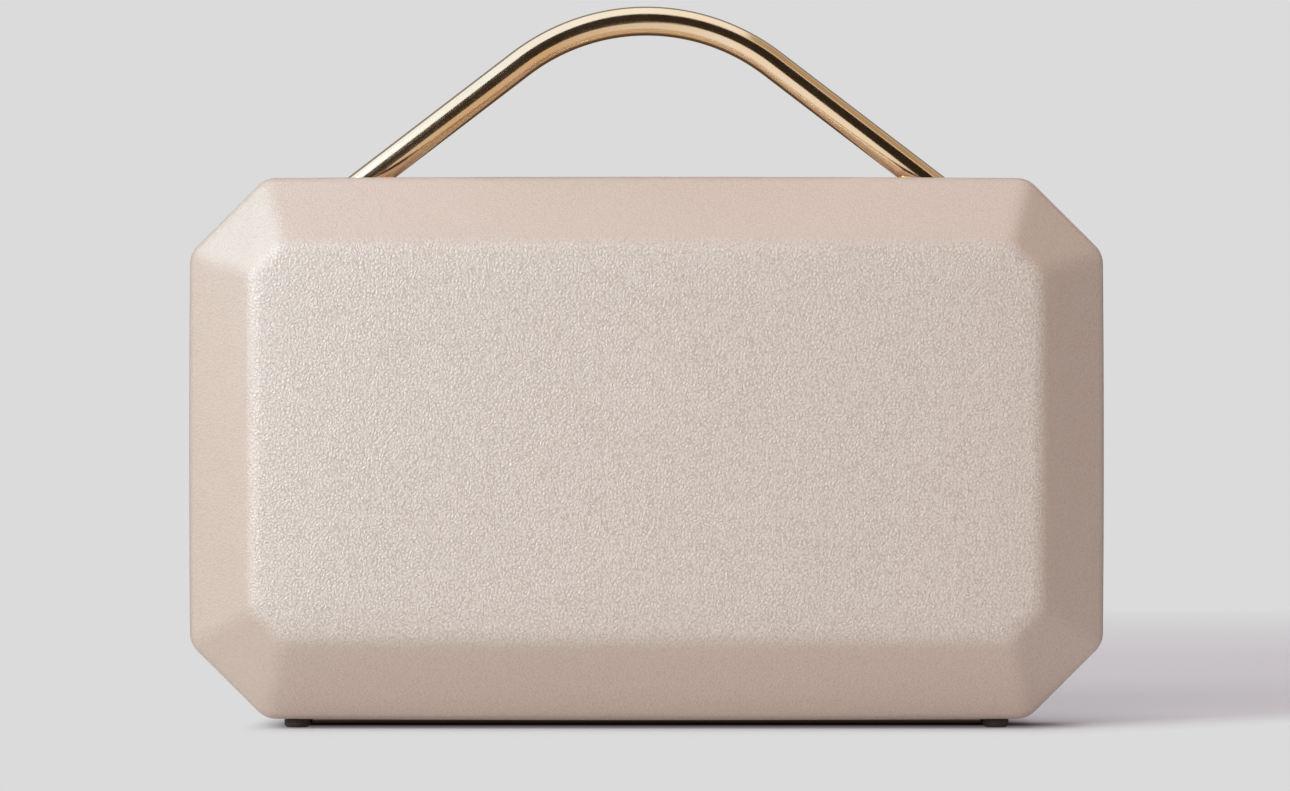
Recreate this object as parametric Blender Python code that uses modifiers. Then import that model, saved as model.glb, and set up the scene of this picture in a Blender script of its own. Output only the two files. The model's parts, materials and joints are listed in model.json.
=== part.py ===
"""A hard box clutch with a bent rod handle.

Two moulded shells, each padded and covered in leather, meet at a pair of brass frames.
The frames are hinged along the bottom and held shut by a push-button latch at the top.
The handle is one bent rod, held in two sockets under the top of the back half.
Lengths are in metres. X runs along the width, Y from front to back, and Z up.
The origin lies on the floor, under the middle of the body.
"""

import math

import bmesh
import bpy
from mathutils import Vector

# Body
BODY_WIDTH = 0.2000
BODY_HEIGHT = 0.1186
WALL_DEPTH = 0.0210
BEVEL_DEPTH = 0.0145
SIDE_BEVEL = 0.0150
TOP_BEVEL = 0.0153
BOTTOM_BEVEL = 0.0183
CORNER_CUT = 0.0164
FACE_CORNER_CUT = 0.0063
CREASE_RADIUS = 0.0050
CORNER_SOFTNESS = 0.0025
INNER_RADIUS = 0.0005

# How far in front of the middle plane the two halves meet, and how far the front half opens
PARTING_SETBACK = 0.0066
PARTING_GAP = 0.0003
OPENING_DEGREES = 48.0
STOP_SPARE_DEGREES = 7.0

# Layers of each half, from the outside in
LEATHER_THICKNESS = 0.0012
PADDING_THICKNESS = 0.0008
CORE_THICKNESS = 0.0020
LINING_THICKNESS = 0.0008

# Clearance between neighbours, and how far a cutter overruns what it cuts
FIT_GAP = 0.0003
OVERRUN = 0.0010

# Frames
FRAME_RECESS = 0.0002
FRAME_PLATE = 0.00145
FRAME_LEG_THICKNESS = 0.0010
BACK_LEG_LENGTH = 0.0050
FRONT_LEG_LENGTH = 0.0040
FRAME_SCREW_MARGIN = 0.0199

# Hinge
BARREL_RADIUS = 0.0016
HINGE_MARGIN = 0.0136
KNUCKLE_COUNT = 5
PIN_RADIUS = 0.0007
PIN_CHAMFER = 0.0002

# Feet
FOOT_HEIGHT = 0.0020
FOOT_RADIUS = 0.0028
FOOT_EDGE = 0.0005
FOOT_MARGIN = 0.0066
FOOT_HINGE_CLEARANCE = 0.0007
FOOT_STUD_RADIUS = 0.0010

# Handle
ROD_RADIUS = 0.0032
HANDLE_ARC_RADIUS = 0.0459
HANDLE_SLOPE_DEGREES = 37.4
LEG_MARGIN = 0.0218
HANDLE_EDGE = 0.0013
ROD_SEAT = 0.0230
FERRULE_WALL = 0.0004
FERRULE_PROUD = 0.0002
SOCKET_WALL = 0.0016
SOCKET_FLOOR = 0.0015
SOCKET_FLANGE = 0.0012
SOCKET_INNER_REACH = 0.0085
SOCKET_OUTER_REACH = 0.0160
SOCKET_SCREW_INSET = 0.0026
SOCKET_SCREW_SPACING = 0.0062
SET_SCREW_RADIUS = 0.0013
SET_SCREW_LENGTH = 0.0020

# Latch
BUTTON_RADIUS = 0.0035
BUTTON_PROUD = 0.0006
BUTTON_LENGTH = 0.0040
BUTTON_CROWN = 0.0004
STEM_RADIUS = 0.0015
BEZEL_WALL = 0.0005
BEZEL_FLANGE = 0.0007
BEZEL_THICKNESS = 0.0006
BEZEL_PROUD = 0.0003
BUTTON_EDGE = 0.0010
TONGUE_THICKNESS = 0.0012
TONGUE_WIDTH = 0.0100
TONGUE_BAR = 0.0012
STRIKE_FOOT = 0.0080
STRIKE_SCREW_SPACING = 0.0060
CATCH_THICKNESS = 0.0012
CATCH_WIDTH = 0.0060
CATCH_TAIL = 0.0030
NOSE_THICKNESS = 0.0014
NOSE_ENGAGEMENT = 0.0009
HOUSING_WALL = 0.0011
HOUSING_EAR = 0.0056
HOUSING_SCREW_INSET = 0.0022
SPRING_LENGTH = 0.0045
SPRING_RADIUS = 0.0023
SPRING_WIRE_RADIUS = 0.00025
SPRING_TURNS = 4
CATCH_SCREW_DEPTH = 0.0030

# Screws
SCREW_RADIUS = 0.0009
SCREW_HEAD_RADIUS = 0.0016
SCREW_HEAD_HEIGHT = 0.0008
SCREW_GRIP = 0.0014
SLOT_WIDTH = 0.0004
SLOT_DEPTH = 0.0004

# Pocket on the back lining
POCKET_MARGIN = 0.0241
POCKET_HEIGHT = 0.0560
POCKET_LIFT = 0.0050
POCKET_THICKNESS = 0.0008

# Points along an outline and steps round a turned piece
LEATHER_CORNER_COUNT = 3
LEATHER_CREASE_COUNT = 4
INNER_COUNT = 2
ARC_STEPS = 16
TURNED_STEPS = 20
SMALL_STEPS = 12
COIL_STEPS = 10
ROD_BEVEL_STEPS = 6
COIL_BEVEL_STEPS = 1

MERGE_DISTANCE = 0.00001

# Values that follow from the sizes above
BODY_TOP = FOOT_HEIGHT + BODY_HEIGHT
CORNER_X = BODY_WIDTH / 2 - CORNER_CUT
PADDING_INSET = LEATHER_THICKNESS + FIT_GAP
CORE_INSET = PADDING_INSET + PADDING_THICKNESS + FIT_GAP
CORE_INNER = CORE_INSET + CORE_THICKNESS
LEG_INSET = CORE_INNER + FIT_GAP
FITTING_INSET = LEG_INSET + max(FRAME_LEG_THICKNESS, LINING_THICKNESS) + FIT_GAP
CUT_SHRINK_SHARE = 2 - math.sqrt(2)
HINGE_LENGTH = 2 * (CORNER_X - HINGE_MARGIN)
HINGE_Y = -PARTING_SETBACK
HINGE_Z = FOOT_HEIGHT + BARREL_RADIUS
BACK_EDGE_Y = HINGE_Y + PARTING_GAP / 2 + FRAME_PLATE + FIT_GAP

SLOPE = math.radians(HANDLE_SLOPE_DEGREES)
LEG_TOP_X = CORNER_X - LEG_MARGIN
ARC_CENTRE_Z = BODY_TOP + LEG_TOP_X * math.tan(SLOPE) - HANDLE_ARC_RADIUS / math.cos(SLOPE)
ROD_BORE_RADIUS = ROD_RADIUS + FIT_GAP
FERRULE_RADIUS = ROD_BORE_RADIUS + FERRULE_WALL
FERRULE_HOLE_RADIUS = FERRULE_RADIUS + FIT_GAP
HANDLE_Y = BACK_EDGE_Y + HANDLE_EDGE + FERRULE_HOLE_RADIUS

BEZEL_BORE_RADIUS = BUTTON_RADIUS + FIT_GAP
BEZEL_RADIUS = BEZEL_BORE_RADIUS + BEZEL_WALL
BEZEL_FLANGE_RADIUS = BEZEL_RADIUS + BEZEL_FLANGE
BUTTON_Y = BACK_EDGE_Y + BUTTON_EDGE + BEZEL_FLANGE_RADIUS + FIT_GAP
TONGUE_TOP = FITTING_INSET + HOUSING_WALL + FIT_GAP
TONGUE_BOTTOM = TONGUE_TOP + TONGUE_THICKNESS
TONGUE_END_Y = BUTTON_Y - STEM_RADIUS - 2 * FIT_GAP
WINDOW_BACK_Y = TONGUE_END_Y - TONGUE_BAR
NOSE_BACK_Y = WINDOW_BACK_Y - FIT_GAP
NOSE_FRONT_Y = NOSE_BACK_Y - NOSE_THICKNESS
WINDOW_FRONT_Y = NOSE_FRONT_Y - FIT_GAP
CATCH_TOP = TONGUE_BOTTOM + FIT_GAP
CATCH_BOTTOM = CATCH_TOP + CATCH_THICKNESS
HOUSING_FLOOR = CATCH_BOTTOM + FIT_GAP + SPRING_LENGTH + FIT_GAP
HOUSING_BACK_Y = BUTTON_Y + CATCH_TAIL + FIT_GAP + HOUSING_WALL
HOUSING_HALF_WIDTH = TONGUE_WIDTH / 2 + FIT_GAP + HOUSING_WALL


# Geometry of the faceted body

def bevel_angle(bevel):
    """Angle between the wall and a bevel that runs in by this width."""
    return math.atan2(bevel, BEVEL_DEPTH)


def wall_end(inset):
    """Distance from the middle plane at which a layer's wall turns into its bevel."""
    return WALL_DEPTH / 2 - inset * math.tan(bevel_angle(SIDE_BEVEL) / 2)


def face_end(inset):
    """Distance from the middle plane to a layer's flat face."""
    return WALL_DEPTH / 2 + BEVEL_DEPTH - inset


def bevel_reach(bevel, inset):
    """Width that a layer's bevel runs in, measured from that layer's own wall."""
    turn = math.tan(math.pi / 4 - bevel_angle(bevel) / 2)
    return bevel - inset * (1 - turn)


def share_at(inset, depth):
    """Share of the bevel that a layer has crossed at this distance from the middle plane."""
    wall = wall_end(inset)
    return max(0.0, (depth - wall) / (face_end(inset) - wall))


def soften(corners, softness, count):
    """Replace each corner of a closed outline with a short curve of count points."""
    points = []
    for index, corner in enumerate(corners):
        before = corners[index - 1] - corner
        after = corners[(index + 1) % len(corners)] - corner
        reach = min(softness, before.length / count, after.length / count)
        start = corner + before.normalized() * reach
        end = corner + after.normalized() * reach
        for step in range(count):
            along = step / (count - 1)
            points.append(start * (1 - along) ** 2 + corner * 2 * along * (1 - along) + end * along ** 2)
    return points


def octagon(inset, share, corner_count):
    """Outline of a layer at a share of its bevel, as x and z, seen from the front."""
    right = BODY_WIDTH / 2 - inset - share * bevel_reach(SIDE_BEVEL, inset)
    roof = BODY_TOP - inset - share * bevel_reach(TOP_BEVEL, inset)
    base = FOOT_HEIGHT + inset + share * bevel_reach(BOTTOM_BEVEL, inset)
    turn = math.tan(math.pi / 4 - bevel_angle(SIDE_BEVEL) / 2)
    wall_cut = CORNER_CUT - inset * CUT_SHRINK_SHARE
    face_cut = FACE_CORNER_CUT - inset * CUT_SHRINK_SHARE * turn
    cut = wall_cut + share * (face_cut - wall_cut)
    corners = [
        Vector((right, base + cut)), Vector((right, roof - cut)),
        Vector((right - cut, roof)), Vector((cut - right, roof)),
        Vector((-right, roof - cut)), Vector((-right, base + cut)),
        Vector((cut - right, base)), Vector((right - cut, base)),
    ]
    return soften(corners, CORNER_SOFTNESS, corner_count)


def profile(inset, start, crease_count):
    """Rows of a layer from its rim to its face, as pairs of bevel share and distance from the middle."""
    wall, face = wall_end(inset), face_end(inset)
    reach = bevel_reach(SIDE_BEVEL, inset)
    slope = math.hypot(reach, face - wall)
    angle = math.atan2(reach, face - wall)
    radius = max(CREASE_RADIUS - inset, INNER_RADIUS)
    wall_tangent = radius * math.tan(angle / 2)
    face_tangent = radius * math.tan((math.pi / 2 - angle) / 2)
    along_bevel = wall_tangent / slope
    creases = [
        ((0, wall - wall_tangent), (0, wall), (along_bevel, wall + along_bevel * (face - wall))),
        ((1 - face_tangent / slope, face - face_tangent / slope * (face - wall)), (1, face),
         (1 + face_tangent / reach, face)),
    ]
    rows = [(0, min(start, wall - wall_tangent))]
    for crease in creases:
        for step in range(crease_count):
            along = step / (crease_count - 1)
            weights = ((1 - along) ** 2, 2 * along * (1 - along), along ** 2)
            rows.append(tuple(sum(w * p[axis] for w, p in zip(weights, crease)) for axis in range(2)))
    return clip_rows(rows, start)


def clip_rows(rows, start):
    """Drop the rows that lie before the rim, and put one row exactly on it."""
    kept = [row for row in rows if row[1] > start + MERGE_DISTANCE]
    first = len(rows) - len(kept)
    before, after = rows[first - 1], rows[first]
    along = (start - before[1]) / (after[1] - before[1])
    return [(before[0] + along * (after[0] - before[0]), start)] + kept


# Building blocks

def srgb(red, green, blue):
    """Linear colour of an 8-bit screen colour."""
    return tuple((value / 255) ** 2.2 for value in (red, green, blue)) + (1.0,)


def make_material(name, colour, roughness, metallic=0.0):
    """Principled material with one colour, roughness and metallic value."""
    material = bpy.data.materials.new(name)
    material.use_nodes = True
    shader = material.node_tree.nodes["Principled BSDF"]
    shader.inputs["Base Color"].default_value = colour
    shader.inputs["Roughness"].default_value = roughness
    shader.inputs["Metallic"].default_value = metallic
    material.diffuse_color = colour
    return material


def clear_scene():
    """Remove whatever the scene holds."""
    for item in list(bpy.data.objects):
        bpy.data.objects.remove(item, do_unlink=True)


def new_object(name, data, material=None, cutter=False):
    """Object of this data in the clutch's collection, or in the cutters' one."""
    item = bpy.data.objects.new(name, data)
    bpy.data.collections["cutters" if cutter else "top_handle_clutch"].objects.link(item)
    if cutter:
        item.hide_render = True
        item.display_type = "WIRE"
    if material:
        data.materials.append(material)
    return item


def mesh_object(name, mesh_builder, material=None, cutter=False, smooth_degrees=30.0):
    """Object whose mesh is what this bmesh holds."""
    mesh = bpy.data.meshes.new(name)
    bmesh.ops.recalc_face_normals(mesh_builder, faces=mesh_builder.faces)
    mesh_builder.to_mesh(mesh)
    mesh_builder.free()
    mesh.shade_smooth()
    mesh.set_sharp_from_angle(angle=math.radians(smooth_degrees))
    return new_object(name, mesh, material, cutter)


def box(name, low, high, material=None, cutter=False):
    """Box between two corners."""
    builder = bmesh.new()
    bmesh.ops.create_cube(builder, size=1)
    low, high = Vector(low), Vector(high)
    for vertex in builder.verts:
        vertex.co = Vector(h * (c + 0.5) + l * (0.5 - c) for l, h, c in zip(low, high, vertex.co))
    return mesh_object(name, builder, material, cutter)


def turned(name, outline, place, axis, material=None, cutter=False, steps=TURNED_STEPS):
    """Piece turned round its axis, from pairs of radius and height that run from the top down."""
    mesh = bpy.data.meshes.new(name)
    points = [(radius, 0, height) for radius, height in outline]
    mesh.from_pydata(points, [(i, i + 1) for i in range(len(points) - 1)], [])
    item = new_object(name, mesh, material, cutter)
    item.location = place
    item.rotation_mode = "QUATERNION"
    item.rotation_quaternion = Vector(axis).to_track_quat("Z", "Y")
    screw = item.modifiers.new("turn", "SCREW")
    screw.steps = steps
    screw.render_steps = steps
    screw.use_merge_vertices = True
    screw.merge_threshold = MERGE_DISTANCE
    if not cutter:
        item.modifiers.new("even_shading", "WEIGHTED_NORMAL")
    return item


def rod_cutter(name, radius, start, end, steps=TURNED_STEPS):
    """Round cutter between two points."""
    axis = Vector(end) - Vector(start)
    outline = [(0, axis.length), (radius, axis.length), (radius, 0), (0, 0)]
    return turned(name, outline, start, axis, cutter=True, steps=steps)


def combine(target, other, operation="DIFFERENCE"):
    """Boolean of a target with another object."""
    modifier = target.modifiers.new(f"{operation.lower()}_{other.name}"[:60], "BOOLEAN")
    modifier.operation = operation
    modifier.solver = "EXACT"
    modifier.object = other


def cut_all(targets, cutters):
    """Cut each target with each cutter."""
    for target in targets:
        for cutter in cutters:
            combine(target, cutter)


def add_rings(builder, rings, closed=False):
    """Quads between consecutive rings of points, and the vertices of each ring."""
    loops = [[builder.verts.new(point) for point in ring] for ring in rings]
    pairs = list(zip(loops, loops[1:]))
    if closed:
        pairs.append((loops[-1], loops[0]))
    for lower, upper in pairs:
        for index in range(len(lower)):
            after = (index + 1) % len(lower)
            builder.faces.new((lower[index], lower[after], upper[after], upper[index]))
    return loops


# Each half of the body

class Half:
    """One half of the body: which way it faces, and where its rim and its frame's leg lie."""

    def __init__(self, name, sign, leg_length):
        self.name = name
        self.sign = sign
        self.rim = sign * HINGE_Y + PARTING_GAP / 2
        self.plate_end = self.rim + FRAME_PLATE
        self.layer_start = self.plate_end + FIT_GAP
        self.leg_end = self.plate_end + leg_length
        self.lining_start = self.leg_end + FIT_GAP

    def ring(self, inset, share, depth, corner_count):
        """Outline of a layer at a distance from the middle plane, as points in space."""
        return [(x, self.sign * depth, z) for x, z in octagon(inset, share, corner_count)]

    def layer(self, name, inset, thickness, start, material, corner_count, crease_count):
        """Closed shell of one layer, from its rim over the wall and bevels to the flat face."""
        builder = bmesh.new()
        rims = []
        for surface in (inset, inset + thickness):
            rows = profile(surface, start, crease_count)
            loops = add_rings(builder, [self.ring(surface, s, d, corner_count) for s, d in rows])
            builder.faces.new(loops[-1])
            rims.append(loops[0])
        outer, inner = rims
        for index in range(len(outer)):
            after = (index + 1) % len(outer)
            builder.faces.new((outer[index], outer[after], inner[after], inner[index]))
        return mesh_object(f"{self.name}_{name}", builder, material)

    def frame_ring(self, material):
        """Brass frame: a flat plate that closes the layers' edges, and a leg that lines the core."""
        leg_inner = LEG_INSET + FRAME_LEG_THICKNESS
        corners = [(FRAME_RECESS, 0, self.rim), (FRAME_RECESS, 0, self.plate_end)]
        corners.append((LEG_INSET, 0, self.plate_end))
        if self.leg_end > wall_end(LEG_INSET) > self.plate_end:
            corners.append((LEG_INSET, 0, wall_end(LEG_INSET)))
        corners.append((LEG_INSET, share_at(LEG_INSET, self.leg_end), self.leg_end))
        corners.append((leg_inner, share_at(leg_inner, self.leg_end), self.leg_end))
        if self.leg_end > wall_end(leg_inner) > self.rim:
            corners.append((leg_inner, 0, wall_end(leg_inner)))
        corners.append((leg_inner, 0, self.rim))
        builder = bmesh.new()
        add_rings(builder, [self.ring(i, s, d, INNER_COUNT) for i, s, d in corners], closed=True)
        return mesh_object(f"{self.name}_brass_frame", builder, material)


def knuckle_spans(first):
    """Spans of every other knuckle of the hinge along X, from the first or from the second."""
    width = HINGE_LENGTH / KNUCKLE_COUNT
    starts = range(first, KNUCKLE_COUNT, 2)
    return [(-HINGE_LENGTH / 2 + i * width, -HINGE_LENGTH / 2 + (i + 1) * width) for i in starts]


def add_hinge(frame, half, other_spans):
    """Relieve a frame's bottom edge, join a barrel to it, notch that into knuckles and bore it for the pin."""
    drop = HINGE_Z - FOOT_HEIGHT + OVERRUN
    spread = drop * math.tan(math.radians((OPENING_DEGREES + STOP_SPARE_DEGREES) / 2))
    relief = wedge_cutter(f"{half.name}_hinge_relief", spread, drop)
    combine(frame, relief)
    half_length = (HINGE_LENGTH - FIT_GAP) / 2
    barrel = rod_cutter(f"{half.name}_hinge_barrel", BARREL_RADIUS,
                        (-half_length, HINGE_Y, HINGE_Z), (half_length, HINGE_Y, HINGE_Z))
    combine(frame, barrel, "UNION")
    swing = max(BARREL_RADIUS, FRAME_PLATE + PARTING_GAP) + OVERRUN
    for index, (start, end) in enumerate(other_spans):
        notch = box(f"{half.name}_hinge_notch_{index + 1}",
                    (start - FIT_GAP / 2, HINGE_Y - swing, FOOT_HEIGHT - OVERRUN),
                    (end + FIT_GAP / 2, HINGE_Y + swing, HINGE_Z + BARREL_RADIUS + FIT_GAP), cutter=True)
        combine(frame, notch)
    reach = HINGE_LENGTH / 2 + OVERRUN
    bore = rod_cutter(f"{half.name}_hinge_bore", PIN_RADIUS + FIT_GAP,
                      (-reach, HINGE_Y, HINGE_Z), (reach, HINGE_Y, HINGE_Z))
    combine(frame, bore)


def wedge_cutter(name, spread, drop):
    """Three-sided cutter along the hinge, with its edge on the hinge's axis and its wide side down."""
    half_length = BODY_WIDTH / 2
    section = [(HINGE_Y, HINGE_Z), (HINGE_Y - spread, HINGE_Z - drop), (HINGE_Y + spread, HINGE_Z - drop)]
    builder = bmesh.new()
    loops = add_rings(builder, [[(x, y, z) for y, z in section] for x in (-half_length, half_length)])
    for loop in loops:
        builder.faces.new(loop)
    return mesh_object(name, builder, cutter=True)


def hinge_pin(material):
    """Pin through all the knuckles, with chamfered ends."""
    length = HINGE_LENGTH - FIT_GAP
    outline = [
        (0, length), (PIN_RADIUS - PIN_CHAMFER, length), (PIN_RADIUS, length - PIN_CHAMFER),
        (PIN_RADIUS, PIN_CHAMFER), (PIN_RADIUS - PIN_CHAMFER, 0), (0, 0),
    ]
    return turned("hinge_pin", outline, (-length / 2, HINGE_Y, HINGE_Z), (1, 0, 0), material, steps=SMALL_STEPS)


# Fasteners

def slotted_screw(name, seat, axis, length, material, targets):
    """Slotted screw with its head on a seat, its shank the other way, and the holes that it needs."""
    seat, axis = Vector(seat), Vector(axis).normalized()
    base = FIT_GAP
    top = base + SCREW_HEAD_HEIGHT
    outline = [
        (0, top), (SCREW_HEAD_RADIUS - SLOT_DEPTH, top), (SCREW_HEAD_RADIUS, top - SLOT_DEPTH),
        (SCREW_HEAD_RADIUS, base), (SCREW_RADIUS, base), (SCREW_RADIUS, -length), (0, -length),
    ]
    screw = turned(name, outline, seat, axis, material, steps=SMALL_STEPS)
    slot = box(f"{name}_slot", (-SCREW_HEAD_RADIUS - OVERRUN, -SLOT_WIDTH / 2, top - SLOT_DEPTH),
               (SCREW_HEAD_RADIUS + OVERRUN, SLOT_WIDTH / 2, top + OVERRUN), cutter=True)
    slot.location = seat
    slot.rotation_mode = "QUATERNION"
    slot.rotation_quaternion = axis.to_track_quat("Z", "Y")
    combine(screw, slot)
    hole = rod_cutter(f"{name}_hole", SCREW_RADIUS + FIT_GAP, seat - axis * (length + FIT_GAP),
                      seat + axis * FIT_GAP, steps=SMALL_STEPS)
    cut_all(targets, [hole])
    return screw


def frame_screws(front, back, parts, material):
    """Screws that hold each frame's leg to its core, two on each side."""
    for side_name, side in (("left", -1), ("right", 1)):
        for level_name, level in (("lower", -1), ("upper", 1)):
            z = FOOT_HEIGHT + BODY_HEIGHT / 2 + level * (BODY_HEIGHT / 2 - CORNER_CUT - FRAME_SCREW_MARGIN)
            inset = LEG_INSET + FRAME_LEG_THICKNESS
            seat = (side * (BODY_WIDTH / 2 - inset), (back.plate_end + back.leg_end) / 2, z)
            length = inset - CORE_INNER + SCREW_GRIP
            slotted_screw(f"back_frame_screw_{side_name}_{level_name}", seat, (-side, 0, 0), length, material,
                          [parts["back_brass_frame"], parts["back_shell_core"]])
            depth = (wall_end(inset) + front.leg_end) / 2
            run_in = inset + share_at(inset, depth) * bevel_reach(SIDE_BEVEL, inset)
            seat = (side * (BODY_WIDTH / 2 - run_in), -depth, z)
            angle = bevel_angle(SIDE_BEVEL)
            inward = (-side * math.cos(angle), math.sin(angle), 0)
            slotted_screw(f"front_frame_screw_{side_name}_{level_name}", seat, inward, length, material,
                          [parts["front_brass_frame"], parts["front_shell_core"]])


# Feet

def feet(parts, material):
    """Four pads under the back half, each with a stud that runs up into the core."""
    crease = CREASE_RADIUS * math.tan(bevel_angle(SIDE_BEVEL) / 2)
    rows = {
        "front": HINGE_Y + FOOT_HINGE_CLEARANCE + FOOT_RADIUS,
        "rear": WALL_DEPTH / 2 - crease - FOOT_RADIUS,
    }
    top = FOOT_HEIGHT - FIT_GAP
    stud_top = FOOT_HEIGHT + CORE_INNER - FIT_GAP
    outline = [
        (0, stud_top), (FOOT_STUD_RADIUS, stud_top), (FOOT_STUD_RADIUS, top), (FOOT_RADIUS, top),
        (FOOT_RADIUS, FOOT_EDGE), (FOOT_RADIUS - FOOT_EDGE, 0), (0, 0),
    ]
    targets = [parts[f"back_{name}"] for name in ("leather_cover", "foam_padding", "shell_core")]
    for row_name, y in rows.items():
        for side_name, side in (("left", -1), ("right", 1)):
            x = side * (CORNER_X - FOOT_MARGIN)
            turned(f"foot_{row_name}_{side_name}", outline, (x, y, 0), (0, 0, 1), material)
            hole = rod_cutter(f"foot_hole_{row_name}_{side_name}", FOOT_STUD_RADIUS + FIT_GAP,
                              (x, y, FOOT_HEIGHT - OVERRUN), (x, y, stud_top + FIT_GAP), steps=SMALL_STEPS)
            cut_all(targets, [hole])


# Handle

def along_leg(side, distance, offset=0.0):
    """Point on a leg's axis, this far below where it meets the top, or off it towards the inside."""
    direction = Vector((side * math.cos(SLOPE), 0, -math.sin(SLOPE)))
    across = Vector((-side * math.sin(SLOPE), 0, -math.cos(SLOPE)))
    return Vector((side * LEG_TOP_X, HANDLE_Y, BODY_TOP)) + direction * distance + across * offset


def handle_rod(material):
    """One round rod: two straight legs and a circular arc between them."""
    points = [along_leg(-1, ROD_SEAT)]
    for step in range(ARC_STEPS + 1):
        angle = SLOPE * (2 * step / ARC_STEPS - 1)
        points.append(Vector((HANDLE_ARC_RADIUS * math.sin(angle), HANDLE_Y,
                              ARC_CENTRE_Z + HANDLE_ARC_RADIUS * math.cos(angle))))
    points.append(along_leg(1, ROD_SEAT))
    return tube("handle_rod", points, ROD_RADIUS, ROD_BEVEL_STEPS, material)


def tube(name, points, radius, bevel_steps, material):
    """Round bar along a line of points, with closed ends."""
    curve = bpy.data.curves.new(name, "CURVE")
    curve.dimensions = "3D"
    curve.bevel_depth = radius
    curve.bevel_resolution = bevel_steps
    curve.use_fill_caps = True
    spline = curve.splines.new("POLY")
    spline.points.add(len(points) - 1)
    for target, point in zip(spline.points, points):
        target.co = (*point, 1)
    return new_object(name, curve, material)


def handle_ferrule(side_name, side, material):
    """Short slanting sleeve that lines the rod's hole, flush with the leather."""
    start, end = along_leg(side, -3 * ROD_RADIUS), along_leg(side, ROD_SEAT)
    length = (end - start).length
    outline = [(0, length), (FERRULE_RADIUS, length), (FERRULE_RADIUS, 0), (0, 0)]
    ferrule = turned(f"handle_ferrule_{side_name}", outline, start, end - start, material)
    bore = rod_cutter(f"ferrule_bore_{side_name}", ROD_BORE_RADIUS, start - (end - start), end + (end - start))
    combine(ferrule, bore)
    reach = 4 * FERRULE_RADIUS
    centre_x = side * LEG_TOP_X
    slab = box(f"ferrule_slab_{side_name}", (centre_x - reach, HANDLE_Y - reach, BODY_TOP - CORE_INNER),
               (centre_x + reach, HANDLE_Y + reach, BODY_TOP + FERRULE_PROUD), cutter=True)
    combine(ferrule, slab, "INTERSECT")
    return ferrule


def handle_socket(side_name, side, material):
    """Socket under the top: a flange for its screws and a slanting boss that holds the rod's end."""
    top = BODY_TOP - FITTING_INSET
    boss_radius = ROD_BORE_RADIUS + SOCKET_WALL
    xs = sorted((side * (LEG_TOP_X - SOCKET_INNER_REACH), side * (LEG_TOP_X + SOCKET_OUTER_REACH)))
    socket = box(f"handle_socket_{side_name}", (xs[0], HANDLE_Y - boss_radius, top - SOCKET_FLANGE),
                 (xs[1], HANDLE_Y + boss_radius, top), material)
    start, end = along_leg(side, 0), along_leg(side, ROD_SEAT + FIT_GAP + SOCKET_FLOOR)
    boss = turned(f"socket_boss_{side_name}", [
        (0, (end - start).length), (boss_radius, (end - start).length), (boss_radius, 0), (0, 0),
    ], start, end - start, cutter=True)
    combine(socket, boss, "UNION")
    reach = LEG_TOP_X
    above = box(f"socket_above_{side_name}", (side * LEG_TOP_X - reach, -reach, top),
                (side * LEG_TOP_X + reach, reach, top + reach), cutter=True)
    combine(socket, above)
    bore = rod_cutter(f"socket_bore_{side_name}", ROD_BORE_RADIUS, along_leg(side, -ROD_SEAT),
                      along_leg(side, ROD_SEAT + FIT_GAP))
    combine(socket, bore)
    return socket


def set_screw(side_name, side, socket, material):
    """Grub screw through the boss's lower wall, square to the rod."""
    flange_distance = (FITTING_INSET + SOCKET_FLANGE) / math.sin(SLOPE)
    distance = (flange_distance + ROD_SEAT) / 2
    start = along_leg(side, distance, ROD_BORE_RADIUS)
    end = along_leg(side, distance, ROD_BORE_RADIUS + SET_SCREW_LENGTH)
    outline = [(0, SET_SCREW_LENGTH), (SET_SCREW_RADIUS, SET_SCREW_LENGTH), (SET_SCREW_RADIUS, 0), (0, 0)]
    screw = turned(f"handle_set_screw_{side_name}", outline, start, end - start, material, steps=SMALL_STEPS)
    centre = along_leg(side, distance)
    hole = rod_cutter(f"set_screw_hole_{side_name}", SET_SCREW_RADIUS + FIT_GAP, centre,
                      end + (end - centre), steps=SMALL_STEPS)
    combine(socket, hole)
    return screw


def handle(parts, brass, steel):
    """Rod, ferrules, sockets and their screws, with the holes in the layers for the legs."""
    handle_rod(brass)
    layers = [parts[f"back_{name}"] for name in
              ("leather_cover", "foam_padding", "shell_core", "brass_frame", "suede_lining")]
    for side_name, side in (("left", -1), ("right", 1)):
        leg_hole = rod_cutter(f"leg_hole_{side_name}", FERRULE_HOLE_RADIUS, along_leg(side, -ROD_SEAT),
                              along_leg(side, (FITTING_INSET + FERRULE_HOLE_RADIUS) / math.sin(SLOPE)))
        cut_all(layers, [leg_hole])
        handle_ferrule(side_name, side, brass)
        socket = handle_socket(side_name, side, brass)
        set_screw(side_name, side, socket, steel)
        x = side * (LEG_TOP_X - SOCKET_INNER_REACH + SOCKET_SCREW_INSET)
        seat_z = BODY_TOP - FITTING_INSET - SOCKET_FLANGE
        length = FITTING_INSET + SOCKET_FLANGE - CORE_INNER + SCREW_GRIP
        for row_name, row in (("front", -1), ("rear", 1)):
            seat = (x, HANDLE_Y + row * SOCKET_SCREW_SPACING / 2, seat_z)
            slotted_screw(f"socket_screw_{side_name}_{row_name}", seat, (0, 0, -1), length, steel,
                          [socket] + layers[2:])


# Latch

def below_top(depth):
    """Height of a level that lies this far below the top of the body."""
    return BODY_TOP - depth


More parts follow.
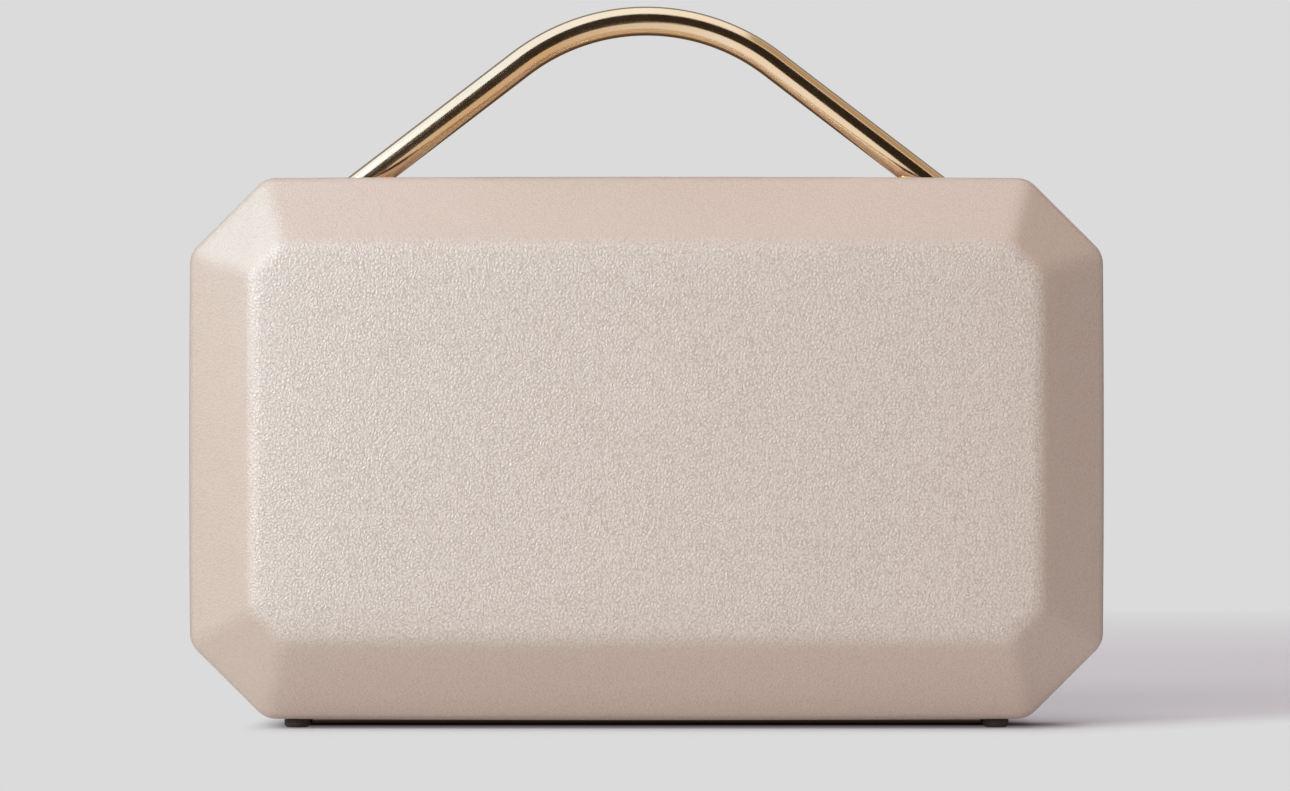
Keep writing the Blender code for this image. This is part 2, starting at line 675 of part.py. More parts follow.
def push_button(material):
    """Round button with a crowned top and a stem, bored from below for the catch's screw."""
    shoulder = below_top(BUTTON_LENGTH)
    stem_end = below_top(CATCH_TOP - FIT_GAP)
    top = BODY_TOP + BUTTON_PROUD
    bore = SCREW_RADIUS + FIT_GAP
    outline = [
        (0, top), (BUTTON_RADIUS - 2 * BUTTON_CROWN, top - BUTTON_CROWN / 4),
        (BUTTON_RADIUS, top - BUTTON_CROWN), (BUTTON_RADIUS, shoulder), (STEM_RADIUS, shoulder),
        (STEM_RADIUS, stem_end), (bore, stem_end), (bore, stem_end + CATCH_SCREW_DEPTH),
        (0, stem_end + CATCH_SCREW_DEPTH),
    ]
    return turned("push_button", outline, (0, BUTTON_Y, 0), (0, 0, 1), material)


def button_bezel(material):
    """Flanged sleeve round the button, let into the leather."""
    top = BODY_TOP + BEZEL_PROUD
    seat = top - BEZEL_THICKNESS
    end = below_top(CORE_INNER)
    outline = [
        (BEZEL_BORE_RADIUS, top), (BEZEL_FLANGE_RADIUS, top), (BEZEL_FLANGE_RADIUS, seat),
        (BEZEL_RADIUS, seat), (BEZEL_RADIUS, end), (BEZEL_BORE_RADIUS, end), (BEZEL_BORE_RADIUS, top),
    ]
    return turned("button_bezel", outline, (0, BUTTON_Y, 0), (0, 0, 1), material)


def button_well():
    """Stepped cutter for the bezel, through every layer under the button."""
    step = BODY_TOP + BEZEL_PROUD - BEZEL_THICKNESS - FIT_GAP
    outline = [
        (0, BODY_TOP + OVERRUN), (BEZEL_FLANGE_RADIUS + FIT_GAP, BODY_TOP + OVERRUN),
        (BEZEL_FLANGE_RADIUS + FIT_GAP, step), (BEZEL_RADIUS + FIT_GAP, step),
        (BEZEL_RADIUS + FIT_GAP, below_top(FITTING_INSET)), (0, below_top(FITTING_INSET)),
    ]
    return turned("button_well", outline, (0, BUTTON_Y, 0), (0, 0, 1), cutter=True)


def side_plate(name, section, width, material):
    """Plate bent or stepped along its length: a side outline of y and z, extruded along X."""
    curve = bpy.data.curves.new(name, "CURVE")
    curve.dimensions = "2D"
    curve.fill_mode = "BOTH"
    curve.extrude = width / 2
    spline = curve.splines.new("POLY")
    spline.points.add(len(section) - 1)
    spline.use_cyclic_u = True
    for target, (y, z) in zip(spline.points, section):
        target.co = (y, z, 0, 1)
    drawing = new_object(f"{name}_outline", curve)
    drawing.rotation_euler = (math.pi / 2, 0, math.pi / 2)
    bpy.context.view_layer.update()
    evaluated = drawing.evaluated_get(bpy.context.evaluated_depsgraph_get())
    mesh = bpy.data.meshes.new_from_object(evaluated)
    mesh.transform(drawing.matrix_world)
    bpy.data.objects.remove(drawing, do_unlink=True)
    mesh.name = name
    builder = bmesh.new()
    builder.from_mesh(mesh)
    bmesh.ops.remove_doubles(builder, verts=builder.verts, dist=MERGE_DISTANCE)
    bpy.data.meshes.remove(mesh)
    return mesh_object(name, builder, material)


def strike_plate(front, parts, brass, steel):
    """Bent bracket on the front half's top bevel, with a windowed tongue that enters the latch."""
    reach = bevel_reach(TOP_BEVEL, FITTING_INSET)
    wall = wall_end(FITTING_INSET)
    run = face_end(FITTING_INSET) - wall
    slope = math.hypot(reach, run)
    along, inward = Vector((-run, -reach)) / slope, Vector((reach, -run)) / slope
    start_share = (TONGUE_TOP - FITTING_INSET) / reach
    bend = Vector((-wall - start_share * run, below_top(TONGUE_TOP)))
    foot_end = bend + along * STRIKE_FOOT
    slide = TONGUE_THICKNESS * (1 + inward.y) / -along.y
    section = [
        (TONGUE_END_Y, below_top(TONGUE_TOP)), tuple(bend), tuple(foot_end),
        tuple(foot_end + inward * TONGUE_THICKNESS), tuple(bend + inward * TONGUE_THICKNESS + along * slide),
        (TONGUE_END_Y, below_top(TONGUE_BOTTOM)),
    ]
    plate = side_plate("strike_plate", section, TONGUE_WIDTH, brass)
    half_window = CATCH_WIDTH / 2 + FIT_GAP
    window = box("strike_window", (-half_window, WINDOW_FRONT_Y, below_top(TONGUE_BOTTOM + OVERRUN)),
                 (half_window, WINDOW_BACK_Y, below_top(TONGUE_TOP - OVERRUN)), cutter=True)
    combine(plate, window)
    middle = bend + along * STRIKE_FOOT / 2 + inward * TONGUE_THICKNESS
    length = TONGUE_THICKNESS + FITTING_INSET - CORE_INNER + SCREW_GRIP
    targets = [plate] + [parts[f"front_{name}"] for name in ("shell_core", "brass_frame", "suede_lining")]
    for side_name, side in (("left", -1), ("right", 1)):
        seat = (side * STRIKE_SCREW_SPACING / 2, middle.x, middle.y)
        slotted_screw(f"strike_screw_{side_name}", seat, (0, inward.x, inward.y), length, steel, targets)


def latch_catch(material):
    """Sliding plate under the tongue, with a nose that stands in the tongue's window."""
    nose_top = below_top(TONGUE_BOTTOM - NOSE_ENGAGEMENT)
    top, bottom = below_top(CATCH_TOP), below_top(CATCH_BOTTOM)
    section = [
        (NOSE_BACK_Y, nose_top), ((NOSE_BACK_Y + NOSE_FRONT_Y) / 2, nose_top), (NOSE_FRONT_Y, top),
        (NOSE_FRONT_Y, bottom), (BUTTON_Y + CATCH_TAIL, bottom), (BUTTON_Y + CATCH_TAIL, top),
        (NOSE_BACK_Y, top),
    ]
    return side_plate("latch_catch", section, CATCH_WIDTH, material)


def latch_housing(material):
    """Box under the top that guides the catch, with an ear for a screw on each side."""
    front = BACK_EDGE_Y
    ear = HOUSING_HALF_WIDTH + HOUSING_EAR
    top, floor = below_top(FITTING_INSET), below_top(HOUSING_FLOOR)
    housing = box("latch_housing", (-ear, front, top - HOUSING_WALL), (ear, HOUSING_BACK_Y, top), material)
    body = box("housing_body", (-HOUSING_HALF_WIDTH, front, floor - HOUSING_WALL),
               (HOUSING_HALF_WIDTH, HOUSING_BACK_Y, top - HOUSING_WALL / 2), cutter=True)
    combine(housing, body, "UNION")
    inner = HOUSING_HALF_WIDTH - HOUSING_WALL
    cavity = box("housing_cavity", (-inner, front + HOUSING_WALL, floor),
                 (inner, HOUSING_BACK_Y - HOUSING_WALL, top - HOUSING_WALL), cutter=True)
    slot = box("housing_slot", (-inner, front - OVERRUN, below_top(CATCH_TOP)),
               (inner, NOSE_BACK_Y, top - HOUSING_WALL), cutter=True)
    stem_hole = rod_cutter("housing_stem_hole", STEM_RADIUS + FIT_GAP,
                           (0, BUTTON_Y, top - HOUSING_WALL - OVERRUN), (0, BUTTON_Y, top + OVERRUN))
    cut_all([housing], [cavity, slot, stem_hole])
    return housing


def button_spring(material):
    """Coil spring between the housing's floor and the catch."""
    bottom = below_top(HOUSING_FLOOR) + FIT_GAP + SPRING_WIRE_RADIUS
    climb = SPRING_LENGTH - 2 * SPRING_WIRE_RADIUS
    points = []
    for step in range(SPRING_TURNS * COIL_STEPS + 1):
        angle = 2 * math.pi * step / COIL_STEPS
        points.append((SPRING_RADIUS * math.cos(angle), BUTTON_Y + SPRING_RADIUS * math.sin(angle),
                       bottom + climb * step / (SPRING_TURNS * COIL_STEPS)))
    return tube("button_spring", points, SPRING_WIRE_RADIUS, COIL_BEVEL_STEPS, material)


def latch(front, parts, brass, steel):
    """Button, bezel, catch, spring, housing and strike plate, with their screws and holes."""
    push_button(brass)
    button_bezel(brass)
    well = button_well()
    layers = [parts[f"back_{name}"] for name in
              ("leather_cover", "foam_padding", "shell_core", "brass_frame", "suede_lining")]
    cut_all(layers, [well])
    catch = latch_catch(steel)
    seat = (0, BUTTON_Y, below_top(CATCH_BOTTOM))
    length = CATCH_THICKNESS + CATCH_SCREW_DEPTH - FIT_GAP
    slotted_screw("catch_screw", seat, (0, 0, -1), length, steel, [catch])
    button_spring(steel)
    housing = latch_housing(steel)
    seat_z = below_top(FITTING_INSET + HOUSING_WALL)
    length = FITTING_INSET + HOUSING_WALL - CORE_INNER + SCREW_GRIP
    for side_name, side in (("left", -1), ("right", 1)):
        x = side * (HOUSING_HALF_WIDTH + HOUSING_EAR - HOUSING_SCREW_INSET)
        slotted_screw(f"housing_screw_{side_name}", (x, BUTTON_Y, seat_z), (0, 0, -1), length, steel,
                      [housing] + layers[2:])
    strike_plate(front, parts, brass, steel)


# Shells, linings and the pocket

def shells(half, materials):
    """Leather, padding, core, lining and frame of one half, by name."""
    layers = (
        ("leather_cover", 0, LEATHER_THICKNESS, half.layer_start, "leather",
         LEATHER_CORNER_COUNT, LEATHER_CREASE_COUNT),
        ("foam_padding", PADDING_INSET, PADDING_THICKNESS, half.layer_start, "foam", INNER_COUNT, INNER_COUNT),
        ("shell_core", CORE_INSET, CORE_THICKNESS, half.layer_start, "core", INNER_COUNT, INNER_COUNT),
        ("suede_lining", LEG_INSET, LINING_THICKNESS, half.lining_start, "suede", INNER_COUNT, INNER_COUNT),
    )
    parts = {}
    for name, inset, thickness, start, material, corner_count, crease_count in layers:
        parts[f"{half.name}_{name}"] = half.layer(name, inset, thickness, start, materials[material],
                                                  corner_count, crease_count)
    parts[f"{half.name}_brass_frame"] = half.frame_ring(materials["brass"])
    return parts


def slip_pocket(material):
    """Flat patch pocket on the back half's lining."""
    inner = LEG_INSET + LINING_THICKNESS
    back = face_end(inner) - FIT_GAP
    bottom = FOOT_HEIGHT + inner + bevel_reach(BOTTOM_BEVEL, inner) + POCKET_LIFT
    half_width = BODY_WIDTH / 2 - inner - bevel_reach(SIDE_BEVEL, inner) - POCKET_MARGIN
    box("slip_pocket", (-half_width, back - POCKET_THICKNESS, bottom),
        (half_width, back, bottom + POCKET_HEIGHT), material)


def build_materials():
    """Finishes of the clutch's pieces."""
    return {
        "leather": make_material("pearl_leather", srgb(211, 201, 192), 0.5),
        "foam": make_material("padding_foam", srgb(226, 220, 204), 0.95),
        "core": make_material("moulded_core", srgb(70, 66, 62), 0.6),
        "suede": make_material("suede_lining", srgb(196, 178, 162), 0.95),
        "brass": make_material("pale_gold_brass", srgb(222, 187, 135), 0.12, 1.0),
        "steel": make_material("nickel_steel", srgb(190, 188, 184), 0.3, 1.0),
        "rubber": make_material("foot_rubber", srgb(52, 40, 34), 0.8),
    }


def main():
    """Build the whole clutch."""
    clear_scene()
    for name in ("top_handle_clutch", "cutters"):
        bpy.context.scene.collection.children.link(bpy.data.collections.new(name))
    materials = build_materials()
    front = Half("front", -1, FRONT_LEG_LENGTH)
    back = Half("back", 1, BACK_LEG_LENGTH)
    parts = {**shells(front, materials), **shells(back, materials)}
    add_hinge(parts["back_brass_frame"], back, knuckle_spans(1))
    add_hinge(parts["front_brass_frame"], front, knuckle_spans(0))
    hinge_pin(materials["steel"])
    frame_screws(front, back, parts, materials["steel"])
    feet(parts, materials["rubber"])
    handle(parts, materials["brass"], materials["steel"])
    latch(front, parts, materials["brass"], materials["steel"])
    slip_pocket(materials["suede"])


main()
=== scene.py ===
"""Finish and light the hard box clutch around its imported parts.

The covers, the linings, the pocket, the handle and the trim round the button are modelled
again at a finer grade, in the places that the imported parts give. Every piece gets its own
finish, and the studio shows the clutch as it stands on a pale table.
"""

from __future__ import annotations

import json
import logging
import math
from dataclasses import dataclass, field
from enum import Enum

import bmesh
import bpy
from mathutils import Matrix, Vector, noise


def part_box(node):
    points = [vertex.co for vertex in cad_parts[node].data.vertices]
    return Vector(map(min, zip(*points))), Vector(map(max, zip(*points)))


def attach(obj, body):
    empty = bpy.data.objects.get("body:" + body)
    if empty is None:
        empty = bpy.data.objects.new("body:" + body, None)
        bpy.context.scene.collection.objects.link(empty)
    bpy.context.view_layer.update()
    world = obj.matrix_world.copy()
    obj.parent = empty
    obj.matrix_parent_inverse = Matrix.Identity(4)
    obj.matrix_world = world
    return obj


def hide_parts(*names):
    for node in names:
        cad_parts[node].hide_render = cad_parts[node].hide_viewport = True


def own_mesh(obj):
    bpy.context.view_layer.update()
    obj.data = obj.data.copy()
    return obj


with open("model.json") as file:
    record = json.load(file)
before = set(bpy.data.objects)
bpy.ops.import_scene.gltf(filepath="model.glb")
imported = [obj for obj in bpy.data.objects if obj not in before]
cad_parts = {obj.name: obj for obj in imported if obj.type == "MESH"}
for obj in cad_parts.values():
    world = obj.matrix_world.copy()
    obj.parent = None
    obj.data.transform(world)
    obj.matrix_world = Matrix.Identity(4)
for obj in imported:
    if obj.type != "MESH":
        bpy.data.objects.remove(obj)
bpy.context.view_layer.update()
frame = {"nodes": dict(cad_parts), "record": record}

Piece = bpy.types.Object
Socket = bpy.types.NodeSocket

LOG = logging.getLogger("clutch")
MERGE = 0.00001
UNEVEN_SCALE = 38.0
CUTTER_CLEARANCE = 0.00005
RIGHTWARDS = Vector((1, 0, 0))
BACKWARDS = Vector((0, 1, 0))


class Side(Enum):
    """Left and right of the clutch, seen from the front."""

    LEFT = -1
    RIGHT = 1

    @property
    def word(self) -> str:
        """Name of the side as the pieces' names spell it."""
        return self.name.lower()


class Slot(Enum):
    """Material slots of the record."""

    LEATHER = "leather"
    FOAM = "foam"
    CORE = "core"
    SUEDE = "suede"
    BRASS = "brass"
    STEEL = "steel"
    RUBBER = "rubber"


def linear(red: float, green: float, blue: float) -> tuple[float, float, float, float]:
    """Turn an 8-bit screen colour into a linear one.

    Args:
        red: Red from 0 to 255.
        green: Green from 0 to 255.
        blue: Blue from 0 to 255.

    Returns:
        The colour with an alpha of one.
    """
    channels = [value / 255 for value in (red, green, blue)]
    return tuple(c / 12.92 if c <= 0.04045 else ((c + 0.055) / 1.055) ** 2.4 for c in channels) + (1.0,)


# Meshes

def add_object(name: str, data: bpy.types.ID) -> Piece:
    """Put a new object with this data in the scene."""
    item = bpy.data.objects.new(name, data)
    bpy.context.scene.collection.objects.link(item)
    return item


class Loft:
    """Surface through rings of points, closed or joined as asked."""

    def __init__(self) -> None:
        """Start with no points and no faces."""
        self.points: list[Vector] = []
        self.faces: list[tuple[int, ...]] = []

    def ring(self, points: list[Vector]) -> list[int]:
        """Add a ring of points and return their numbers."""
        start = len(self.points)
        self.points.extend(Vector(point) for point in points)
        return list(range(start, len(self.points)))

    def skin(self, first: list[int], second: list[int]) -> None:
        """Join two rings of as many points with a band of quads."""
        for index in range(len(first)):
            after = (index + 1) % len(first)
            self.faces.append((first[index], first[after], second[after], second[index]))

    def skins(self, rings: list[list[int]]) -> None:
        """Join each ring to the next."""
        for first, second in zip(rings, rings[1:]):
            self.skin(first, second)

    def cap(self, ring: list[int]) -> None:
        """Close a ring with one flat face."""
        self.faces.append(tuple(ring))

    def tube(self, rings: list[list[int]]) -> None:
        """Join each ring to the next and close both ends."""
        self.skins(rings)
        self.cap(rings[0])
        self.cap(rings[-1])

    def fan(self, ring: list[int], centre: Vector) -> None:
        """Close a ring with triangles that meet at a point."""
        middle = self.ring([centre])[0]
        for index in range(len(ring)):
            self.faces.append((ring[index], ring[(index + 1) % len(ring)], middle))

    def build(self, name: str, sharp_degrees: float = 40.0) -> Piece:
        """Make the object.

        Args:
            name: Name of the object.
            sharp_degrees: Edges that turn by more than this stay sharp.

        Returns:
            The new object, in the scene.
        """
        mesh = bpy.data.meshes.new(name)
        mesh.from_pydata([tuple(point) for point in self.points], [], self.faces)
        builder = bmesh.new()
        builder.from_mesh(mesh)
        bmesh.ops.remove_doubles(builder, verts=builder.verts, dist=MERGE)
        bmesh.ops.recalc_face_normals(builder, faces=builder.faces)
        builder.to_mesh(mesh)
        builder.free()
        mesh.shade_smooth()
        mesh.set_sharp_from_angle(angle=math.radians(sharp_degrees))
        return add_object(name, mesh)


def circle(centre: Vector, across: Vector, up: Vector, radius: float, count: int) -> list[Vector]:
    """Points round a circle.

    Args:
        centre: Middle of the circle.
        across: Unit direction of the first point.
        up: Unit direction a quarter turn on.
        radius: Radius of the circle.
        count: How many points.

    Returns:
        The points, in order.
    """
    turns = [2 * math.pi * index / count for index in range(count)]
    return [centre + (across * math.cos(turn) + up * math.sin(turn)) * radius for turn in turns]


def turned(name: str, outline: list[tuple[float, float]], centre: Vector, count: int) -> Piece:
    """Turn an outline round an upright axis.

    Args:
        name: Name of the piece.
        outline: Pairs of radius and height above the centre, closed on itself unless it starts on the axis.
        centre: Point of the axis from which heights are measured.
        count: Steps round the axis.

    Returns:
        The turned piece.
    """
    loft = Loft()
    rings = []
    for radius, height in outline:
        if radius > 0:
            middle = centre + Vector((0, 0, height))
            rings.append(loft.ring(circle(middle, RIGHTWARDS, BACKWARDS, radius, count)))
    loft.skins(rings)
    if outline[0][0] > 0:
        loft.skin(rings[-1], rings[0])
    else:
        loft.fan(rings[0], centre + Vector((0, 0, outline[0][1])))
        loft.fan(rings[-1], centre + Vector((0, 0, outline[-1][1])))
    return loft.build(name)


def bar(name: str, start: Vector, end: Vector, radius: float, count: int) -> Piece:
    """Round bar between two points, for use as a cutter."""
    axis = (end - start).normalized()
    across = axis.orthogonal().normalized()
    loft = Loft()
    loft.tube([loft.ring(circle(point, across, axis.cross(across), radius, count)) for point in (start, end)])
    return loft.build(name)


def cut_holes(piece: Piece, cutters: list[Piece]) -> None:
    """Cut a piece with each cutter and keep the result as its mesh."""
    for cutter in cutters:
        modifier = piece.modifiers.new(cutter.name, "BOOLEAN")
        modifier.operation = "DIFFERENCE"
        modifier.solver = "EXACT"
        modifier.object = cutter
    bpy.context.view_layer.update()
    cut = bpy.data.meshes.new_from_object(piece.evaluated_get(bpy.context.evaluated_depsgraph_get()))
    piece.modifiers.clear()
    piece.data = cut


# Finishes

class Graph:
    """Shader nodes in the making."""

    def __init__(self, tree: bpy.types.NodeTree) -> None:
        """Work in this node tree."""
        self.tree = tree

    def feed(self, target: Socket, value: object) -> None:
        """Link a socket to this input, or set the input to a plain value."""
        if isinstance(value, Socket):
            self.tree.links.new(value, target)
        else:
            target.default_value = value

    def add(self, kind: str, values: dict | None = None, **settings: object) -> bpy.types.Node:
        """Add a node.

        Args:
            kind: Type of the node.
            values: Plain values or sockets for its inputs, by the inputs' names or numbers.
            settings: Properties of the node itself, which are set first.

        Returns:
            The new node.
        """
        node = self.tree.nodes.new(kind)
        for key, value in settings.items():
            setattr(node, key, value)
        for key, value in (values or {}).items():
            self.feed(node.inputs[key], value)
        return node

    def math(self, operation: str, first: object, second: object = 0.0) -> Socket:
        """Combine two numbers or sockets."""
        return self.add("ShaderNodeMath", {0: first, 1: second}, operation=operation).outputs[0]

    def line(self, value: object, slope: float, start: float) -> Socket:
        """Multiply a value by a slope and add a start."""
        return self.math("ADD", self.math("MULTIPLY", value, slope), start)

    def beyond(self, value: object, start: float) -> Socket:
        """How far a value lies beyond a start, and nought before it."""
        return self.math("MAXIMUM", self.math("SUBTRACT", value, start), 0.0)

    def layered(self, first: object, second: object, share: float) -> Socket:
        """Sum of two heights, with this share of the second."""
        return self.math("ADD", self.math("MULTIPLY", first, 1 - share), self.math("MULTIPLY", second, share))

    def remap(self, value: Socket, source: tuple[float, float],
              target: tuple[float, float] = (0.0, 1.0)) -> Socket:
        """Map one range of numbers onto another, with its ends held."""
        names = ("From Min", "From Max", "To Min", "To Max")
        values = {"Value": value, **dict(zip(names, source + target))}
        return self.add("ShaderNodeMapRange", values).outputs["Result"]

    def split(self, vector: Socket) -> bpy.types.NodeOutputs:
        """Outputs X, Y and Z of a vector."""
        return self.add("ShaderNodeSeparateXYZ", {0: vector}).outputs

    def mix_shaders(self, factor: Socket, first: Socket,
                    second: Socket) -> Socket:
        """Mix two shaders by a factor."""
        return self.add("ShaderNodeMixShader", {0: factor, 1: first, 2: second}).outputs[0]


class WorldSketch(Graph):
    """World in the making."""

    def __init__(self, name: str) -> None:
        """Start an empty world and put it in the scene."""
        world = bpy.data.worlds.new(name)
        bpy.context.scene.world = world
        world.use_nodes = True
        world.node_tree.nodes.clear()
        super().__init__(world.node_tree)


class Sketch(Graph):
    """Material in the making: a Principled shader and the nodes that feed it."""

    def __init__(self, name: str, metallic: float = 0.0) -> None:
        """Start a material that is laid out in the object's own metres."""
        self.material = bpy.data.materials.new(name)
        self.material.use_nodes = True
        super().__init__(self.material.node_tree)
        self.shader = self.tree.nodes["Principled BSDF"]
        self.shader.inputs["Metallic"].default_value = metallic
        self.coordinates = self.add("ShaderNodeTexCoord")
        self.place = self.coordinates.outputs["Object"]

    def give(self, socket: str, value: object) -> None:
        """Set or link one of the shader's own inputs."""
        self.feed(self.shader.inputs[socket], value)

    def show(self, surface: Socket) -> None:
        """Show this shader instead of the plain one."""
        self.feed(self.tree.nodes["Material Output"].inputs["Surface"], surface)

    def stretch(self, scale: tuple[float, float, float]) -> Socket:
        """Object's metres, scaled along each axis."""
        return self.add("ShaderNodeMapping", {"Scale": scale, "Vector": self.place}).outputs[0]

    def noise(self, size: float, detail: float = 3.0, rough: float = 0.5,
              place: Socket | None = None, output: str = "Fac") -> Socket:
        """Cloudy noise.

        Args:
            size: Length of one lump in metres.
            detail: Octaves of finer noise.
            rough: Share of the finer noise.
            place: Coordinates, or the object's own.
            output: Which output of the noise is wanted.

        Returns:
            The output.
        """
        return self.add("ShaderNodeTexNoise", {
            "Scale": 1 / size, "Detail": detail, "Roughness": rough,
            "Vector": place or self.place}).outputs[output]

    def warped(self, size: float, amount: float) -> Socket:
        """Object's metres, pushed about by noise of this size."""
        cloud = self.noise(size, 1.0, output="Color")
        centred = self.add("ShaderNodeVectorMath", {0: cloud, 1: (0.5, 0.5, 0.5)}, operation="SUBTRACT")
        scaled = self.add("ShaderNodeVectorMath", {0: centred.outputs[0], "Scale": amount}, operation="SCALE")
        moved = self.add("ShaderNodeVectorMath", {0: self.place, 1: scaled.outputs[0]}, operation="ADD")
        return moved.outputs[0]

    def valleys(self, size: float, place: Socket) -> Socket:
        """Distance from the valleys between pebbles of this size, in pebbles."""
        values = {"Scale": 1 / size, "Vector": place}
        return self.add("ShaderNodeTexVoronoi", values, feature="DISTANCE_TO_EDGE").outputs["Distance"]

    def ramp(self, value: Socket, stops: list[tuple[float, tuple]]) -> Socket:
        """Colour that runs through stops of place and colour."""
        node = self.add("ShaderNodeValToRGB", {"Fac": value})
        elements = node.color_ramp.elements
        for index, (place, colour) in enumerate(stops):
            element = elements[index] if index < len(elements) else elements.new(place)
            element.position = place
            element.color = colour
        return node.outputs["Color"]

    def blend(self, factor: Socket, first: Socket,
              second: Socket) -> Socket:
        """Mix two colours by a factor."""
        node = self.add("ShaderNodeMix", {"Factor": factor}, data_type="RGBA")
        targets = [socket for socket in node.inputs if socket.type == "RGBA"]
        for target, colour in zip(targets, (first, second)):
            self.feed(target, colour)
        return [socket for socket in node.outputs if socket.type == "RGBA"][0]

    def bump(self, height: Socket, depth: float, strength: object = 1.0,
             below: Socket | None = None) -> Socket:
        """Raise the surface.

        Args:
            height: Height from nought to one.
            depth: What one means, in metres.
            strength: Share of the effect, as a number or a socket.
            below: Normal that this relief lies on.

        Returns:
            The new normal.
        """
        values = {"Distance": depth, "Strength": strength, "Height": height}
        if below:
            values["Normal"] = below
        return self.add("ShaderNodeBump", values).outputs["Normal"]

    def finish(self, colour: Socket, roughness: Socket,
               normal: Socket) -> bpy.types.Material:
        """Give colour, roughness and normal to the shader and return the material."""
        self.give("Base Color", colour)
        self.give("Roughness", roughness)
        self.give("Normal", normal)
        return self.material


@dataclass(frozen=True)
class PearlLeather:
    """Fine pebbled leather with a pearly top coat, its relief smoother over the bevels, which get painted shade:
    a darker, warmer colour than the face.
    """

    face: tuple = linear(206, 192, 183)
    face_deep: tuple = linear(184, 169, 159)
    # Darker, warmer colours of the bevels: painted shade.
    bevel: tuple = linear(196, 175, 163)
    shaded_bevel_deep: tuple = linear(187, 166, 153)
    pebble: float = 0.00078
    valley: float = 0.34
    relief: float = 0.00015
    bevel_relief: float = 0.50
    rice: float = 0.42
    tone: float = 0.34
    tone_start: float = 0.15
    warp_size: float = 0.0009
    warp: float = 0.0004
    fine_share: float = 0.7
    flat_facing: tuple = (0.78, 0.98)
    hide_size: float = 0.0140
    hide_relief: float = 0.00025
    rough_size: float = 0.0060
    rough: tuple = (0.42, 0.50)

    def build(self) -> bpy.types.Material:
        """Make the material."""
        sketch = Sketch("pearl_leather")
        sketch.give("IOR", 1.6)
        warped = sketch.warped(self.warp_size, self.warp)
        pebbles = sketch.remap(sketch.valleys(self.pebble, warped), (0.0, self.valley))
        fine = sketch.remap(sketch.noise(self.pebble * self.fine_share, detail=1.0), (0.3, 0.7))
        height = sketch.layered(pebbles, fine, self.rice)
        facing = sketch.split(sketch.coordinates.outputs["Normal"])
        flat = sketch.remap(sketch.math("ABSOLUTE", facing["Y"]), self.flat_facing)
        hide = sketch.bump(sketch.noise(self.hide_size), self.hide_relief, strength=0.3)
        relief = sketch.remap(flat, (0.0, 1.0), (self.bevel_relief, 1.0))
        normal = sketch.bump(height, self.relief, relief, hide)
        tones = self.tone_start, self.tone_start + self.tone
        grain = sketch.ramp(height, list(zip(tones, (self.face_deep, self.face))))
        # Painted shade: the bevels get a darker, warmer copy of the leather's colour, picked by which way the
        # surface faces, and flat blends it into the face's colour.
        shaded_bevel_colour = sketch.ramp(height, list(zip(tones, (self.shaded_bevel_deep, self.bevel))))
        surface = sketch.blend(flat, shaded_bevel_colour, grain)
        rough = sketch.remap(sketch.noise(self.rough_size, detail=4.0), (0.3, 0.7), self.rough)
        return sketch.finish(surface, rough, normal)


@dataclass(frozen=True)
class PolishedGold:
    """Pale gold plate, polished, with faint handling marks."""

    colour: tuple = (0.96, 0.73, 0.49, 1.0)
    deep: tuple = (0.93, 0.69, 0.44, 1.0)
    name: str = "pale_gold"
    rough: float = 0.12
    scuffed: float = 0.05

    def build(self) -> bpy.types.Material:
        """Make the material."""
        sketch = Sketch(self.name, metallic=1.0)
        cloud = sketch.noise(0.012, detail=4.0)
        colour = sketch.ramp(cloud, [(0.3, self.deep), (0.7, self.colour)])
        scuffs = sketch.noise(0.0030, detail=3.0, rough=0.6)
        rough = sketch.remap(scuffs, (0.3, 0.75), (self.rough, self.rough + self.scuffed))
        return sketch.finish(colour, rough, sketch.bump(cloud, depth=0.00002, strength=0.3))


@dataclass(frozen=True)
class SatinNickel:
    """Satin nickel of the screws, the spring and the latch's inner plates."""

    colour: tuple = (0.56, 0.54, 0.50, 1.0)
    deep: tuple = (0.44, 0.42, 0.39, 1.0)

    def build(self) -> bpy.types.Material:
        """Make the material."""
        sketch = Sketch("satin_nickel", metallic=1.0)
        brushed = sketch.noise(0.0004, detail=3.0, rough=0.6, place=sketch.stretch((0.06, 1.0, 1.0)))
        colour = sketch.ramp(brushed, [(0.25, self.deep), (0.75, self.colour)])
        rough = sketch.remap(brushed, (0.2, 0.8), (0.24, 0.38))
        return sketch.finish(colour, rough, sketch.bump(brushed, depth=0.000008, strength=0.5))


@dataclass(frozen=True)
class BrushedSuede:
    """Short suede nap that lies in soft strokes."""

    dark: tuple = linear(176, 154, 136)
    light: tuple = linear(203, 185, 167)
    nap_share: float = 0.7

    def build(self) -> bpy.types.Material:
        """Make the material."""
        sketch = Sketch("suede_lining")
        sketch.give("Sheen Weight", 0.45)
        sketch.give("Sheen Roughness", 0.4)
        strokes = sketch.noise(0.030, detail=2.0, rough=0.45, place=sketch.stretch((0.6, 1.0, 1.0)))
        nap = sketch.noise(0.0007, detail=3.0, rough=0.7)
        mixed = sketch.layered(strokes, nap, self.nap_share)
        colour = sketch.ramp(mixed, [(0.36, self.dark), (0.64, self.light)])
        rough = sketch.remap(strokes, (0.3, 0.7), (0.86, 0.98))
        return sketch.finish(colour, rough, sketch.bump(nap, depth=0.00012, strength=0.6))


